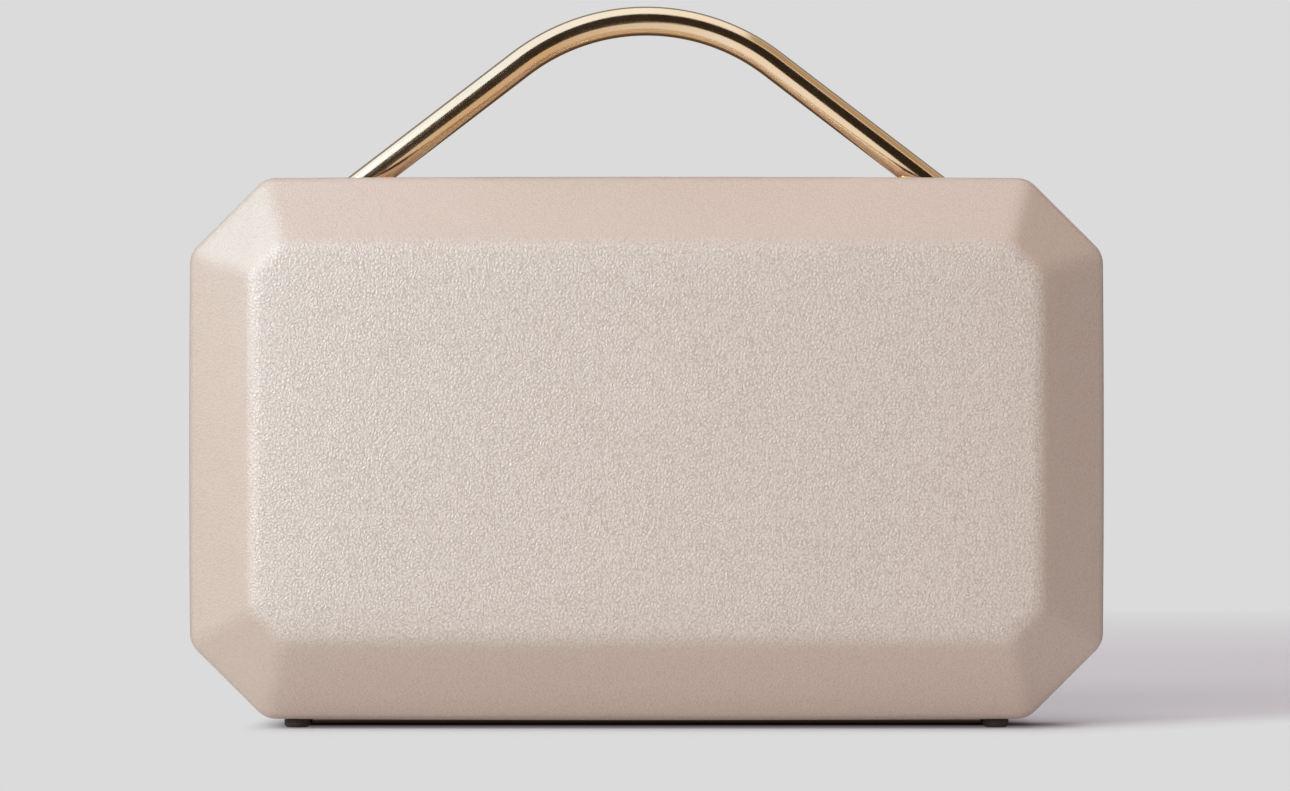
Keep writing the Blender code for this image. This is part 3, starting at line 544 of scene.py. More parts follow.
@dataclass(frozen=True)
class Stock:
    """Plain stock such as foam, moulded board, rubber or thread, with a fine grain."""

    name: str
    dark: tuple
    light: tuple
    rough: float
    grain: float
    relief: float
    spread: float = 0.05

    def build(self) -> bpy.types.Material:
        """Make the material."""
        sketch = Sketch(self.name)
        cloud = sketch.noise(self.grain, detail=4.0, rough=0.6)
        colour = sketch.ramp(cloud, [(0.3, self.dark), (0.7, self.light)])
        rough = sketch.remap(cloud, (0.3, 0.7), (self.rough - self.spread, self.rough + self.spread))
        return sketch.finish(colour, rough, sketch.bump(cloud, self.relief, strength=0.6))


@dataclass
class Palette:
    """Every finish of the clutch, made once."""

    made: dict[Slot, bpy.types.Material] = field(default_factory=dict)
    thread: bpy.types.Material | None = None

    def mix(self) -> None:
        """Make all the materials."""
        foam = Stock("padding_foam", linear(206, 198, 180), linear(230, 224, 208), 0.92, 0.0006, 0.0001)
        core = Stock("moulded_core", linear(52, 49, 46), linear(78, 74, 70), 0.6, 0.0011, 0.00006)
        rubber = Stock("foot_rubber", linear(60, 50, 44), linear(74, 63, 57), 0.8, 0.0007, 0.00005)
        thread = Stock("lining_thread", linear(226, 214, 196), linear(240, 230, 214), 0.8, 0.0003, 0.00006)
        finishes = {
            Slot.LEATHER: PearlLeather(), Slot.SUEDE: BrushedSuede(), Slot.BRASS: PolishedGold(),
            Slot.STEEL: SatinNickel(), Slot.FOAM: foam, Slot.CORE: core, Slot.RUBBER: rubber}
        self.made = {slot: finish.build() for slot, finish in finishes.items()}
        self.thread = thread.build()

    def dress(self, piece: Piece, slot: Slot) -> None:
        """Give a new piece the finish of a slot."""
        piece.data.materials.clear()
        piece.data.materials.append(self.made[slot])

    def dress_nodes(self) -> None:
        """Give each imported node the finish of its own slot."""
        slots = {part["node"]: Slot(part["material_slot"]) for part in frame["record"]["subparts"]}
        for name, node in frame["nodes"].items():
            node.data.materials.clear()
            node.data.materials.append(self.made[slots[name]])


# Faceted body

@dataclass(frozen=True)
class BodyForm:
    """Faceted form of the body, and how a layer lies inside it."""

    half_width: float
    base: float
    roof: float
    wall_half: float = 0.0105
    bevel_depth: float = 0.0145
    side_bevel: float = 0.0150
    top_bevel: float = 0.0153
    bottom_bevel: float = 0.0183
    corner_cut: float = 0.0164
    face_corner_cut: float = 0.0063
    bow_middle: float = 0.00025
    bow_end: float = 0.00015
    long_side_steps: int = 42
    short_side_steps: int = 22
    cut_steps: int = 6
    corner_steps: int = 7
    corner_limit: float = 0.42

    def slant(self, bevel: float) -> float:
        """Angle between the wall and a bevel that runs in by this width."""
        return math.atan2(bevel, self.bevel_depth)

    def wall_end(self, inset: float) -> float:
        """Depth at which a layer's wall turns into its bevel."""
        return self.wall_half - inset * math.tan(self.slant(self.side_bevel) / 2)

    def face_end(self, inset: float) -> float:
        """Depth of a layer's flat face."""
        return self.wall_half + self.bevel_depth - inset

    def reach(self, bevel: float, inset: float) -> float:
        """Width that a layer's bevel runs in."""
        return bevel - inset * (1 - math.tan(math.pi / 4 - self.slant(bevel) / 2))

    def corners(self, inset: float, share: float) -> list[Vector]:
        """Eight corners of a layer at a share of its bevel, as x and z."""
        right = self.half_width - inset - share * self.reach(self.side_bevel, inset)
        roof = self.roof - inset - share * self.reach(self.top_bevel, inset)
        base = self.base + inset + share * self.reach(self.bottom_bevel, inset)
        shrink = 2 - math.sqrt(2)
        turn = math.tan(math.pi / 4 - self.slant(self.side_bevel) / 2)
        wall_cut = self.corner_cut - inset * shrink
        face_cut = self.face_corner_cut - inset * shrink * turn
        cut = wall_cut + share * (face_cut - wall_cut)
        return [Vector(pair) for pair in (
            (right, base + cut), (right, roof - cut), (right - cut, roof), (cut - right, roof),
            (-right, roof - cut), (-right, base + cut), (cut - right, base), (right - cut, base))]

    def outline(self, inset: float, share: float, softness: float) -> list[Vector]:
        """Outline of a layer with rounded corners and evenly spaced sides.

        Args:
            inset: How far the layer lies inside the leather.
            share: Share of the bevel that is crossed.
            softness: How far each rounded corner reaches along its sides.

        Returns:
            Points of x and z, as many for every inset and share.
        """
        corners = self.corners(inset, share)
        steps = (self.short_side_steps, self.cut_steps, self.long_side_steps, self.cut_steps) * 2
        curves = []
        for index, corner in enumerate(corners):
            before = corners[index - 1] - corner
            after = corners[(index + 1) % len(corners)] - corner
            reach = min(softness, before.length * self.corner_limit, after.length * self.corner_limit)
            start, end = corner + before.normalized() * reach, corner + after.normalized() * reach
            shares = [step / (self.corner_steps - 1) for step in range(self.corner_steps)]
            curves.append([start * (1 - t) ** 2 + corner * 2 * t * (1 - t) + end * t ** 2 for t in shares])
        points = []
        for index, curve in enumerate(curves):
            following = curves[(index + 1) % len(curves)][0]
            count = steps[index]
            points.extend(curve)
            points.extend(curve[-1].lerp(following, step / count) for step in range(1, count))
        return points

    def cut(self, inset: float, start: float) -> tuple[tuple[float, float], float]:
        """Flat cut that a layer is made from before it is drawn over the form.

        Args:
            inset: How far the layer lies inside the leather.
            start: Depth at which the layer's wall begins.

        Returns:
            Width and length of the cut, and its area without the notches at its corners.
        """
        wall, rise = self.wall_end(inset) - start, self.face_end(inset) - self.wall_end(inset)
        runs = [self.reach(bevel, inset) for bevel in (self.side_bevel, self.bottom_bevel, self.top_bevel)]
        slopes = [math.hypot(run, rise) for run in runs]
        gain = [slope - run + wall for slope, run in zip(slopes, runs)]
        width = 2 * (self.half_width - inset) + 2 * gain[0]
        length = self.roof - self.base - 2 * inset + gain[1] + gain[2]
        rims, areas = [], []
        for share in (0.0, 1.0):
            corners = self.corners(inset, share)
            pairs = list(zip(corners, corners[1:] + corners[:1]))
            rims.append(sum((after - before).length for before, after in pairs))
            areas.append(abs(sum(before.x * after.y - after.x * before.y for before, after in pairs)) / 2)
        area = areas[1] + sum(rims) / 2 * sum(slopes) / len(slopes) + rims[0] * wall
        return (width, length), area

    def bowed(self, point: Vector, weight: float) -> Vector:
        """Push a point out or in, so that the sides swell slightly in their middles."""
        middle = (self.roof + self.base) / 2
        half_height = (self.roof - self.base) / 2
        across, up = point.x / self.half_width, (point.y - middle) / half_height

        def swell(along: float) -> float:
            return self.bow_middle - (self.bow_middle + self.bow_end) * along * along

        return Vector((point.x + across * swell(up) * weight, point.y + up * swell(across) * weight))


@dataclass(frozen=True)
class Row:
    """One ring of a layer: how far across the bevel, how deep, how far in, and its scale on the face."""

    share: float
    depth: float
    extra: float = 0.0
    scale: float = 1.0


@dataclass(frozen=True)
class Layer:
    """Surface of one layer, from its rim over the wall and bevels to the middle of its face."""

    form: BodyForm
    inset: float
    start: float
    wall_crease: float
    face_crease: float
    softness: float
    crease_steps: int = 9
    bevel_steps: int = 5
    face_steps: int = 20
    face_spread: float = 1.7
    roll: float = 0.0075
    rim_radius: float = 0.0
    rim_steps: int = 5
    crown: float = 0.0
    swell: float = 0.0
    unevenness: float = 0.0

    def crease(self, before: tuple[float, float], corner: tuple[float, float],
               after: tuple[float, float]) -> list[tuple[float, float]]:
        """Rounded run from one surface to the next, as pairs of share and depth."""
        shares = [step / (self.crease_steps - 1) for step in range(self.crease_steps)]
        weights = [((1 - t) ** 2, 2 * t * (1 - t), t ** 2) for t in shares]
        return [tuple(sum(w * p[axis] for w, p in zip(weight, (before, corner, after))) for axis in range(2))
                for weight in weights]

    def section(self) -> list[tuple[float, float]]:
        """Whole section without the rim, as pairs of share and depth."""
        form = self.form
        wall, face = form.wall_end(self.inset), form.face_end(self.inset)
        reach = form.reach(form.side_bevel, self.inset)
        slope = math.hypot(reach, face - wall)
        first, last = self.wall_crease / slope, self.face_crease / slope
        lower = self.crease((0, wall - self.wall_crease), (0, wall), (first, wall + first * (face - wall)))
        upper = self.crease((1 - last, face - last * (face - wall)), (1, face),
                            (1 + self.face_crease / reach, face))
        middle = []
        for step in range(1, self.bevel_steps):
            share = first + (1 - last - first) * step / self.bevel_steps
            middle.append((share, wall + share * (face - wall)))
        return [(0.0, min(self.start, wall - self.wall_crease) - MERGE)] + lower + middle + upper

    def rows(self) -> list[Row]:
        """Every ring of the layer, from the rim to the smallest on the face."""
        section = self.section()

        def share_at(depth: float) -> float:
            for (share, level), (next_share, next_level) in zip(section, section[1:]):
                if level <= depth <= next_level:
                    return share + (next_share - share) * (depth - level) / (next_level - level)
            return section[0][0]

        rows = []
        for step in range(self.rim_steps + 1):
            angle = math.pi / 2 * step / self.rim_steps
            depth = self.start + self.rim_radius * (1 - math.cos(angle))
            rows.append(Row(share_at(depth), depth, self.rim_radius * (1 - math.sin(angle))))
        rim_end = rows[-1].depth + MERGE
        rows.extend(Row(share, depth) for share, depth in section if depth > rim_end)
        share, depth = section[-1]
        for step in range(1, self.face_steps):
            scale = 1 - (step / self.face_steps) ** self.face_spread
            roll = 1 - math.exp((scale - 1) * self.form.half_width / self.roll)
            rows.append(Row(share, depth + self.crown * roll, 0.0, scale))
        return rows

    def ring(self, row: Row, sign: int) -> list[Vector]:
        """Points of a row in space, with the layer's swell and unevenness."""
        form = self.form
        middle = Vector((0, (form.roof + form.base + form.bottom_bevel - form.top_bevel) / 2))
        points = []
        for flat in form.outline(self.inset + row.extra, row.share, self.softness):
            placed = form.bowed(flat, self.swell * max(0.0, 1 - row.share))
            placed = middle + (placed - middle) * row.scale
            lift = self.unevenness * noise.noise(Vector((placed.x, sign * row.depth, placed.y)) * UNEVEN_SCALE)
            points.append(Vector((placed.x, sign * (row.depth + lift * min(1.0, row.share)), placed.y)))
        return points

    def surface(self, loft: Loft, sign: int) -> list[int]:
        """Add the whole surface to a loft and return its rim."""
        rings = [loft.ring(self.ring(row, sign)) for row in self.rows()]
        loft.skins(rings)
        centre = sum((loft.points[number] for number in rings[-1]), Vector()) / len(rings[-1])
        loft.fan(rings[-1], centre)
        return rings[0]


@dataclass
class Shell:
    """One half of the body: its leather cover and its suede lining."""

    word: str
    sign: int
    form: BodyForm
    leather: float = 0.0012
    lining_inset: float = 0.0049
    lining: float = 0.0008
    leather_piece: Piece | None = None
    lining_piece: Piece | None = None

    @property
    def body(self) -> str:
        """Name of the body that this half rides on."""
        return f"{self.word}_half"

    def rim(self, node: str) -> float:
        """Depth at which a packed layer of this half starts."""
        low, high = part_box(f"{self.word}_{node}")
        return low.y if self.sign > 0 else -high.y

    def pair(self, name: str, outer: Layer, inner: Layer) -> Piece:
        """Closed shell between two surfaces."""
        loft = Loft()
        rims = [layer.surface(loft, self.sign) for layer in (outer, inner)]
        loft.skin(*rims)
        piece = loft.build(name)
        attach(piece, self.body)
        return piece

    def build(self) -> None:
        """Model the cover and the lining."""
        start = self.rim("leather_cover")
        outer = Layer(self.form, 0.0, start, wall_crease=0.0020, face_crease=0.0027, softness=0.0024,
                      rim_radius=0.0005, crown=0.0004, swell=1.0, unevenness=0.00012)
        inner = Layer(self.form, self.leather, start, wall_crease=0.0012, face_crease=0.0020, softness=0.0020,
                      crease_steps=3, bevel_steps=1, face_steps=2, rim_steps=1)
        self.leather_piece = self.pair(f"{self.word}_leather", outer, inner)
        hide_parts(f"{self.word}_leather_cover")
        start = self.rim("suede_lining")
        outer = Layer(self.form, self.lining_inset, start, wall_crease=0.0004, face_crease=0.0004,
                      softness=0.0020, crease_steps=2, bevel_steps=1, face_steps=2, rim_steps=1)
        inner = Layer(self.form, self.lining_inset + self.lining, start, wall_crease=0.0011,
                      face_crease=0.0016, softness=0.0024, crease_steps=5, bevel_steps=3, face_steps=10,
                      rim_steps=1, unevenness=0.00006)
        self.lining_piece = self.pair(f"{self.word}_suede", outer, inner)
        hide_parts(f"{self.word}_suede_lining")

    def dress(self, palette: Palette) -> None:
        """Give the cover and the lining their finishes, and work out the flat cut of each."""
        palette.dress(self.leather_piece, Slot.LEATHER)
        palette.dress(self.lining_piece, Slot.SUEDE)
        padding = f"{self.word}_foam_padding"
        for piece, inset, node, below in (
                (self.leather_piece, 0.0, "leather_cover", padding),
                (self.lining_piece, self.lining_inset + self.lining, "suede_lining", f"{self.word}_shell_core")):
            flat, area = self.form.cut(inset, self.rim(node))


# Handle

@dataclass
class CarryHandle:
    """Bent rod: two straight legs and a round arc, with a ferrule where each leg enters the top."""

    roof: float
    slope: float = math.radians(37.4)
    arc_radius: float = 0.0459
    leg_top: float = 0.0618
    ferrule_wall: float = 0.0004
    ferrule_gap: float = 0.0003
    ferrule_lip: float = 0.00015
    round_steps: int = 48
    arc_steps: int = 72
    rod: Piece | None = None
    ferrules: list[Piece] = field(default_factory=list)

    def __post_init__(self) -> None:
        """Read the rod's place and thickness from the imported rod."""
        low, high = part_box("handle_rod")
        self.radius = (high.y - low.y) / 2
        self.middle_y = (high.y + low.y) / 2
        self.crown_z = high.z - self.radius
        self.end_x = high.x - self.radius * math.sin(self.slope)

    def leg(self, side: Side, distance: float) -> Vector:
        """Point on a leg's axis, this far below the top of the body."""
        return Vector((side.value * (self.leg_top + distance * math.cos(self.slope)), self.middle_y,
                       self.roof - distance * math.sin(self.slope)))

    @property
    def seat(self) -> float:
        """Length of each leg below the top."""
        return (self.end_x - self.leg_top) / math.cos(self.slope)

    def path(self) -> list[tuple[Vector, float]]:
        """Points of the centreline, each with the angle at which the rod climbs there."""
        centre = Vector((0, self.middle_y, self.crown_z - self.arc_radius))
        points = [(self.leg(Side.LEFT, self.seat), self.slope), (self.leg(Side.LEFT, 0), self.slope)]
        for step in range(self.arc_steps + 1):
            angle = self.slope * (2 * step / self.arc_steps - 1)
            points.append((centre + Vector((math.sin(angle), 0, math.cos(angle))) * self.arc_radius, -angle))
        points += [(self.leg(Side.RIGHT, 0), -self.slope), (self.leg(Side.RIGHT, self.seat), -self.slope)]
        return points

    def build(self) -> None:
        """Model the rod and the two ferrules."""
        loft = Loft()
        rings = []
        for point, climb in self.path():
            up = Vector((-math.sin(climb), 0, math.cos(climb)))
            rings.append(loft.ring(circle(point, up, BACKWARDS, self.radius, self.round_steps)))
        loft.tube(rings)
        self.rod = loft.build("handle")
        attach(self.rod, "back_half")
        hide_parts("handle_rod")
        self.ferrules = [self.ferrule(side) for side in Side]

    def ferrule(self, side: Side) -> Piece:
        """Slanting sleeve round a leg, cut level with the top and rolled slightly over the leather."""
        node = f"handle_ferrule_{side.word}"
        low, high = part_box(node)
        axis = (self.leg(side, 1.0) - self.leg(side, 0.0)).normalized()
        up = axis.cross(BACKWARDS)
        inner = self.radius + self.ferrule_gap
        outer = inner + self.ferrule_wall
        rims = [(inner, low.z), (inner, high.z - self.ferrule_lip), (inner + self.ferrule_lip, high.z),
                (outer, high.z), (outer + self.ferrule_lip, high.z - self.ferrule_lip),
                (outer, self.roof), (outer, low.z)]
        loft = Loft()
        rings = []
        for radius, level in rims:
            points = []
            for point in circle(self.leg(side, 0), BACKWARDS, up, radius, self.round_steps):
                points.append(point + axis * ((level - point.z) / axis.z))
            rings.append(loft.ring(points))
        loft.skins(rings)
        loft.skin(rings[-1], rings[0])
        piece = loft.build(f"{side.word}_ferrule")
        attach(piece, "back_half")
        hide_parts(node)
        return piece

    def bores(self, clearance: float) -> list[Piece]:
        """Cutters for the holes that the legs and ferrules need."""
        radius = self.radius + self.ferrule_gap + self.ferrule_wall + clearance
        return [bar(f"{side.word}_leg_bore", self.leg(side, -self.seat), self.leg(side, self.seat / 2), radius,
                    self.round_steps) for side in Side]

    def dress(self, palette: Palette) -> None:
        """Give the rod and the ferrules their finish."""
        for piece in (self.rod, *self.ferrules):
            palette.dress(piece, Slot.BRASS)


# Button

@dataclass
class ButtonTrim:
    """Push button and the bezel round it, turned at a finer grade."""

    roof: float
    steps: int = 64
    edge: float = 0.0003
    crown: float = 0.0004
    dome_degrees: tuple = (20, 40, 60)
    rim_fall_share: float = 0.62
    edge_fall_share: float = 0.4
    skirt: float = 0.0040
    stem: float = 0.0015
    gap: float = 0.0003
    flange_width: float = 0.0007
    flange_thickness: float = 0.0006
    well_depth: float = 0.0070
    well_rise: float = 0.0020
    button: Piece | None = None
    bezel: Piece | None = None

    def __post_init__(self) -> None:
        """Read the button's and the bezel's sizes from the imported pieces."""
        self.low, self.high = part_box("push_button")
        self.bezel_low, self.bezel_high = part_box("button_bezel")
        self.radius = (self.high.x - self.low.x) / 2
        self.flange = (self.bezel_high.x - self.bezel_low.x) / 2
        self.centre = Vector((0, (self.high.y + self.low.y) / 2, 0))

    def build(self) -> None:
        """Model the button and the bezel."""
        top, shoulder = self.high.z, self.roof - self.skirt
        turns = [math.radians(degrees) for degrees in self.dome_degrees]
        dome = [(self.radius * math.sin(turn), top - self.crown * (1 - math.cos(turn) ** 0.5))
                for turn in turns]
        outline = [(0, top)] + dome + [
            (self.radius - self.edge, top - self.crown * self.rim_fall_share),
            (self.radius, top - self.crown - self.edge * self.edge_fall_share),
            (self.radius, shoulder), (self.stem, shoulder), (self.stem, self.low.z), (0, self.low.z)]
        self.button = turned("button_top", outline, self.centre, self.steps)
        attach(self.button, "latch")
        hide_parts("push_button")
        rim, bore, sleeve = self.bezel_high.z, self.radius + self.gap, self.flange - self.flange_width
        outline = [
            (bore, rim - self.edge / 2), (bore + self.edge / 2, rim), (self.flange - self.edge, rim),
            (self.flange - self.edge / 3, rim - self.edge / 3), (self.flange, rim - self.edge),
            (self.flange, rim - self.flange_thickness), (sleeve, rim - self.flange_thickness),
            (sleeve, self.bezel_low.z), (bore, self.bezel_low.z)]
        self.bezel = turned("button_collar", outline, self.centre, self.steps)
        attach(self.bezel, "back_half")
        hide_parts("button_bezel")

    def well(self, clearance: float) -> list[Piece]:
        """Cutters for the stepped hole that the bezel sits in."""
        heights = (self.bezel_high.z - self.flange_thickness - clearance, self.roof - self.well_depth,
                   self.roof + self.well_rise)
        seat, bottom, top = (self.centre + Vector((0, 0, height)) for height in heights)
        return [
            bar("bezel_seat", seat, top, self.flange + clearance, self.steps),
            bar("bezel_bore", bottom, top, self.flange - self.flange_width + clearance, self.steps)]

    def dress(self, palette: Palette) -> None:
        """Give the button and the bezel their finish."""
        palette.dress(self.button, Slot.BRASS)
        palette.dress(self.bezel, Slot.BRASS)


# Spring

@dataclass
class PressSpring:
    """Coil spring under the catch, which the button squeezes."""

    travel: float = 0.0012
    wire: float = 0.00025
    turns: int = 4
    turn_steps: int = 28
    round_steps: int = 10
    coil: Piece | None = None

    def build(self) -> None:
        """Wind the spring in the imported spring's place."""
        low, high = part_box("button_spring")
        middle = Vector((0, (low.y + high.y) / 2, low.z + self.wire))
        radius, climb = (high.x - low.x) / 2 - self.wire, high.z - low.z - 2 * self.wire
        count = self.turns * self.turn_steps
        loft, rings = Loft(), []
        for step in range(count + 1):
            angle = 2 * math.pi * step / self.turn_steps
            outward = Vector((math.cos(angle), math.sin(angle), 0))
            onward = Vector((-outward.y, outward.x, climb / (self.turns * 2 * math.pi * radius))).normalized()
            point = middle + outward * radius + Vector((0, 0, climb * step / count))
            rings.append(loft.ring(circle(point, outward, outward.cross(onward), self.wire, self.round_steps)))
        loft.tube(rings)
        self.coil = loft.build("coil_spring", sharp_degrees=60.0)
        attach(self.coil, "back_half")
        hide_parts("button_spring")
        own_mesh(self.coil)

    def dress(self, palette: Palette) -> None:
        """Give the spring its finish."""
        palette.dress(self.coil, Slot.STEEL)


# Pocket

@dataclass
class PatchPocket:
    """Suede patch on the back lining: rounded lower corners, a turned hem and a row of stitches."""

    corner: float = 0.0090
    belly: float = 0.0012
    hem: float = 0.0070
    hem_lift: float = 0.0004
    stitch_inset: float = 0.0019
    stitch_length: float = 0.0017
    stitch_gap: float = 0.0009
    stitch_radius: float = 0.00022
    columns: int = 60
    levels: int = 34
    seam_steps: int = 8
    stitch_steps: int = 8
    stitch_profile: tuple = ((0.0, 0.45), (0.2, 1.0), (0.8, 1.0), (1.0, 0.45))
    panel: Piece | None = None
    stitches: Piece | None = None

    def __post_init__(self) -> None:
        """Read the pocket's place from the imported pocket."""
        self.low, self.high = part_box("slip_pocket")
        self.half = (self.high.x - self.low.x) / 2
        self.height = self.high.z - self.low.z

    def half_at(self, up: float) -> float:
        """Half of the pocket's width at a height above its bottom."""
        if up >= self.corner:
            return self.half
        return self.half - self.corner + math.sqrt(self.corner ** 2 - (self.corner - up) ** 2)

    def front_at(self, across: float, up: float) -> float:
        """Depth of the pocket's front at a share of its width and a share of its height."""
        slack = self.belly * (1 - across ** 4) * up ** 1.5
        folded = self.hem_lift if up > 1 - self.hem / self.height else 0.0
        return self.low.y - slack - folded

    def build(self) -> None:
        """Model the panel and its stitches."""
        loft = Loft()
        rings = []
        for level in range(self.levels + 1):
            up = level / self.levels
            half = self.half_at(up * self.height)
            shares = [2 * column / self.columns - 1 for column in range(self.columns + 1)]
            z = self.low.z + up * self.height
            front = [Vector((share * half, self.front_at(share, up), z)) for share in shares]
            back = [Vector((share * half, self.high.y, z)) for share in reversed(shares)]
            rings.append(loft.ring(front + back))
        loft.tube(rings)
        self.panel = loft.build("pocket_panel", sharp_degrees=50.0)
        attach(self.panel, "back_half")
        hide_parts("slip_pocket")
        self.stitches = self.sewing()

    def seam(self) -> list[tuple[float, float]]:
        """Line of the stitches down one side, along the bottom, up the other side and along the hem."""
        inset, corner = self.stitch_inset, self.corner - self.stitch_inset
        half, top = self.half - inset, self.height - inset
        points = [(-half, top), (-half, inset + corner)]
        for step in range(1, self.seam_steps + 1):
            turn = math.pi / 2 * step / self.seam_steps
            points.append((-half + corner * (1 - math.cos(turn)), inset + corner * (1 - math.sin(turn))))
        points += [(-x, z) for x, z in reversed(points)]
        return points

    def sewing(self) -> Piece:
        """Short rounded stitches along the seam and along the hem."""
        hem_line = self.height - self.hem + self.stitch_inset / 2
        half = self.half - 2 * self.stitch_inset
        loft = Loft()
        for line in (self.seam(), [(-half, hem_line), (half, hem_line)]):
            self.sew(loft, line)
        piece = loft.build("pocket_stitches", sharp_degrees=60.0)
        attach(piece, "back_half")
        return piece

    def sew(self, loft: Loft, line: list[tuple[float, float]]) -> None:
        """Add one stitch after another along a line of x and height."""
        spans = [math.dist(start, end) for start, end in zip(line, line[1:])]
        pitch = self.stitch_length + self.stitch_gap
        count = int(sum(spans) / pitch)
        for index in range(count):
            ends = [self.on_line(line, spans, index * pitch + part) for part in (0.0, self.stitch_length)]
            self.stitch(loft, *ends)

    def on_line(self, line: list[tuple[float, float]], spans: list[float], distance: float) -> Vector:
        """Point of the pocket's front at a distance along a line."""
        for (start, end), span in zip(zip(line, line[1:]), spans):
            if distance <= span:
                break
            distance -= span
        along = min(1.0, distance / span)
        x, z = (a + (b - a) * along for a, b in zip(start, end))
        return Vector((x, self.front_at(x / self.half_at(z), z / self.height), self.low.z + z))

    def stitch(self, loft: Loft, start: Vector, end: Vector) -> None:
        """Add one stitch: a short bar with tapered ends."""
        axis = (end - start).normalized()
        across = axis.cross(BACKWARDS).normalized()
        outward = across.cross(axis)
        rings = []
        for share, swell in self.stitch_profile:
            radius = self.stitch_radius * swell
            rings.append(loft.ring(circle(start.lerp(end, share), across, outward, radius, self.stitch_steps)))
        loft.tube(rings)

    def dress(self, palette: Palette) -> None:
        """Give the panel and the thread their finishes."""
        palette.dress(self.panel, Slot.SUEDE)
        self.stitches.data.materials.append(palette.thread)


# Studio

@dataclass(frozen=True)
class Lamp:
    """Distant soft lamp: the direction that its light comes from, its breadth and its strength."""

    name: str
    towards: tuple[float, float, float]
    breadth_degrees: float
    strength: float
    colour: tuple[float, float, float] = (1.0, 1.0, 1.0)
    glossy: bool = True

    def build(self) -> None:
        """Hang the lamp."""
        data = bpy.data.lights.new(self.name, "SUN")
        data.energy = self.strength
        data.angle = math.radians(self.breadth_degrees)
        data.color = self.colour
        item = add_object(self.name, data)
        item.visible_glossy = self.glossy
        item.rotation_mode = "QUATERNION"
        item.rotation_quaternion = Vector(self.towards).to_track_quat("Z", "Y")


@dataclass(frozen=True)
class Panel:
    """Square soft lamp at a place near the clutch, facing the middle of the body."""

    name: str
    place: tuple[float, float, float]
    size: float
    power: float
    colour: tuple[float, float, float] = (1.0, 1.0, 1.0)
    diffuse: bool = True
    glossy: bool = True

    def build(self, aim: Vector) -> None:
        """Hang the lamp and turn it to the aim."""
        data = bpy.data.lights.new(self.name, "AREA")
        data.shape = "SQUARE"
        data.size = self.size
        data.energy = self.power
        data.color = self.colour
        item = add_object(self.name, data)
        item.location = self.place
        item.rotation_mode = "QUATERNION"
        item.rotation_quaternion = (Vector(self.place) - aim).to_track_quat("Z", "Y")
        item.visible_camera = False
        item.visible_diffuse = self.diffuse
        item.visible_glossy = self.glossy


@dataclass(frozen=True)
class Card:
    """Flat studio card that only shows in reflections, with stops of x and colour."""

    name: str
    corners: tuple
    stops: tuple

    def build(self) -> None:
        """Stand the card up."""
        mesh = bpy.data.meshes.new(self.name)
        mesh.from_pydata(self.corners, [], [tuple(range(len(self.corners)))])
        sketch = Sketch(self.name)
        stops = [(place, (*colour, 1.0)) for place, colour in self.stops]
        if len(stops) == 1:
            shade = stops[0][1]
        else:
            left, right = stops[0][0], stops[-1][0]
            share = sketch.remap(sketch.split(sketch.place)["X"], (left, right))
            shade = sketch.ramp(share, [((place - left) / (right - left), colour) for place, colour in stops])
        sketch.show(sketch.add("ShaderNodeEmission", {"Color": shade}).outputs[0])
        sketch.tree.nodes.remove(sketch.shader)
        mesh.materials.append(sketch.material)
        item = add_object(self.name, mesh)
        for kind in ("camera", "diffuse", "transmission", "volume_scatter", "shadow"):
            setattr(item, f"visible_{kind}", False)


def patch(height: float, *corners: tuple[float, float]) -> tuple:
    """Level patch through these corners of x and y, at a height."""
    return tuple((x, y, height) for x, y in corners)


def level(left: float, front: float, right: float, back: float, height: float) -> tuple:
    """Corners of a level rectangle at a height."""
    return patch(height, (left, front), (right, front), (right, back), (left, back))


def upright(left: float, right: float, deep: float, height: float) -> tuple:
    """Corners of a patch that stands on the table, this deep in the studio."""
    return (left, deep, 0.0), (right, deep, 0.0), (right, deep, height), (left, deep, height)


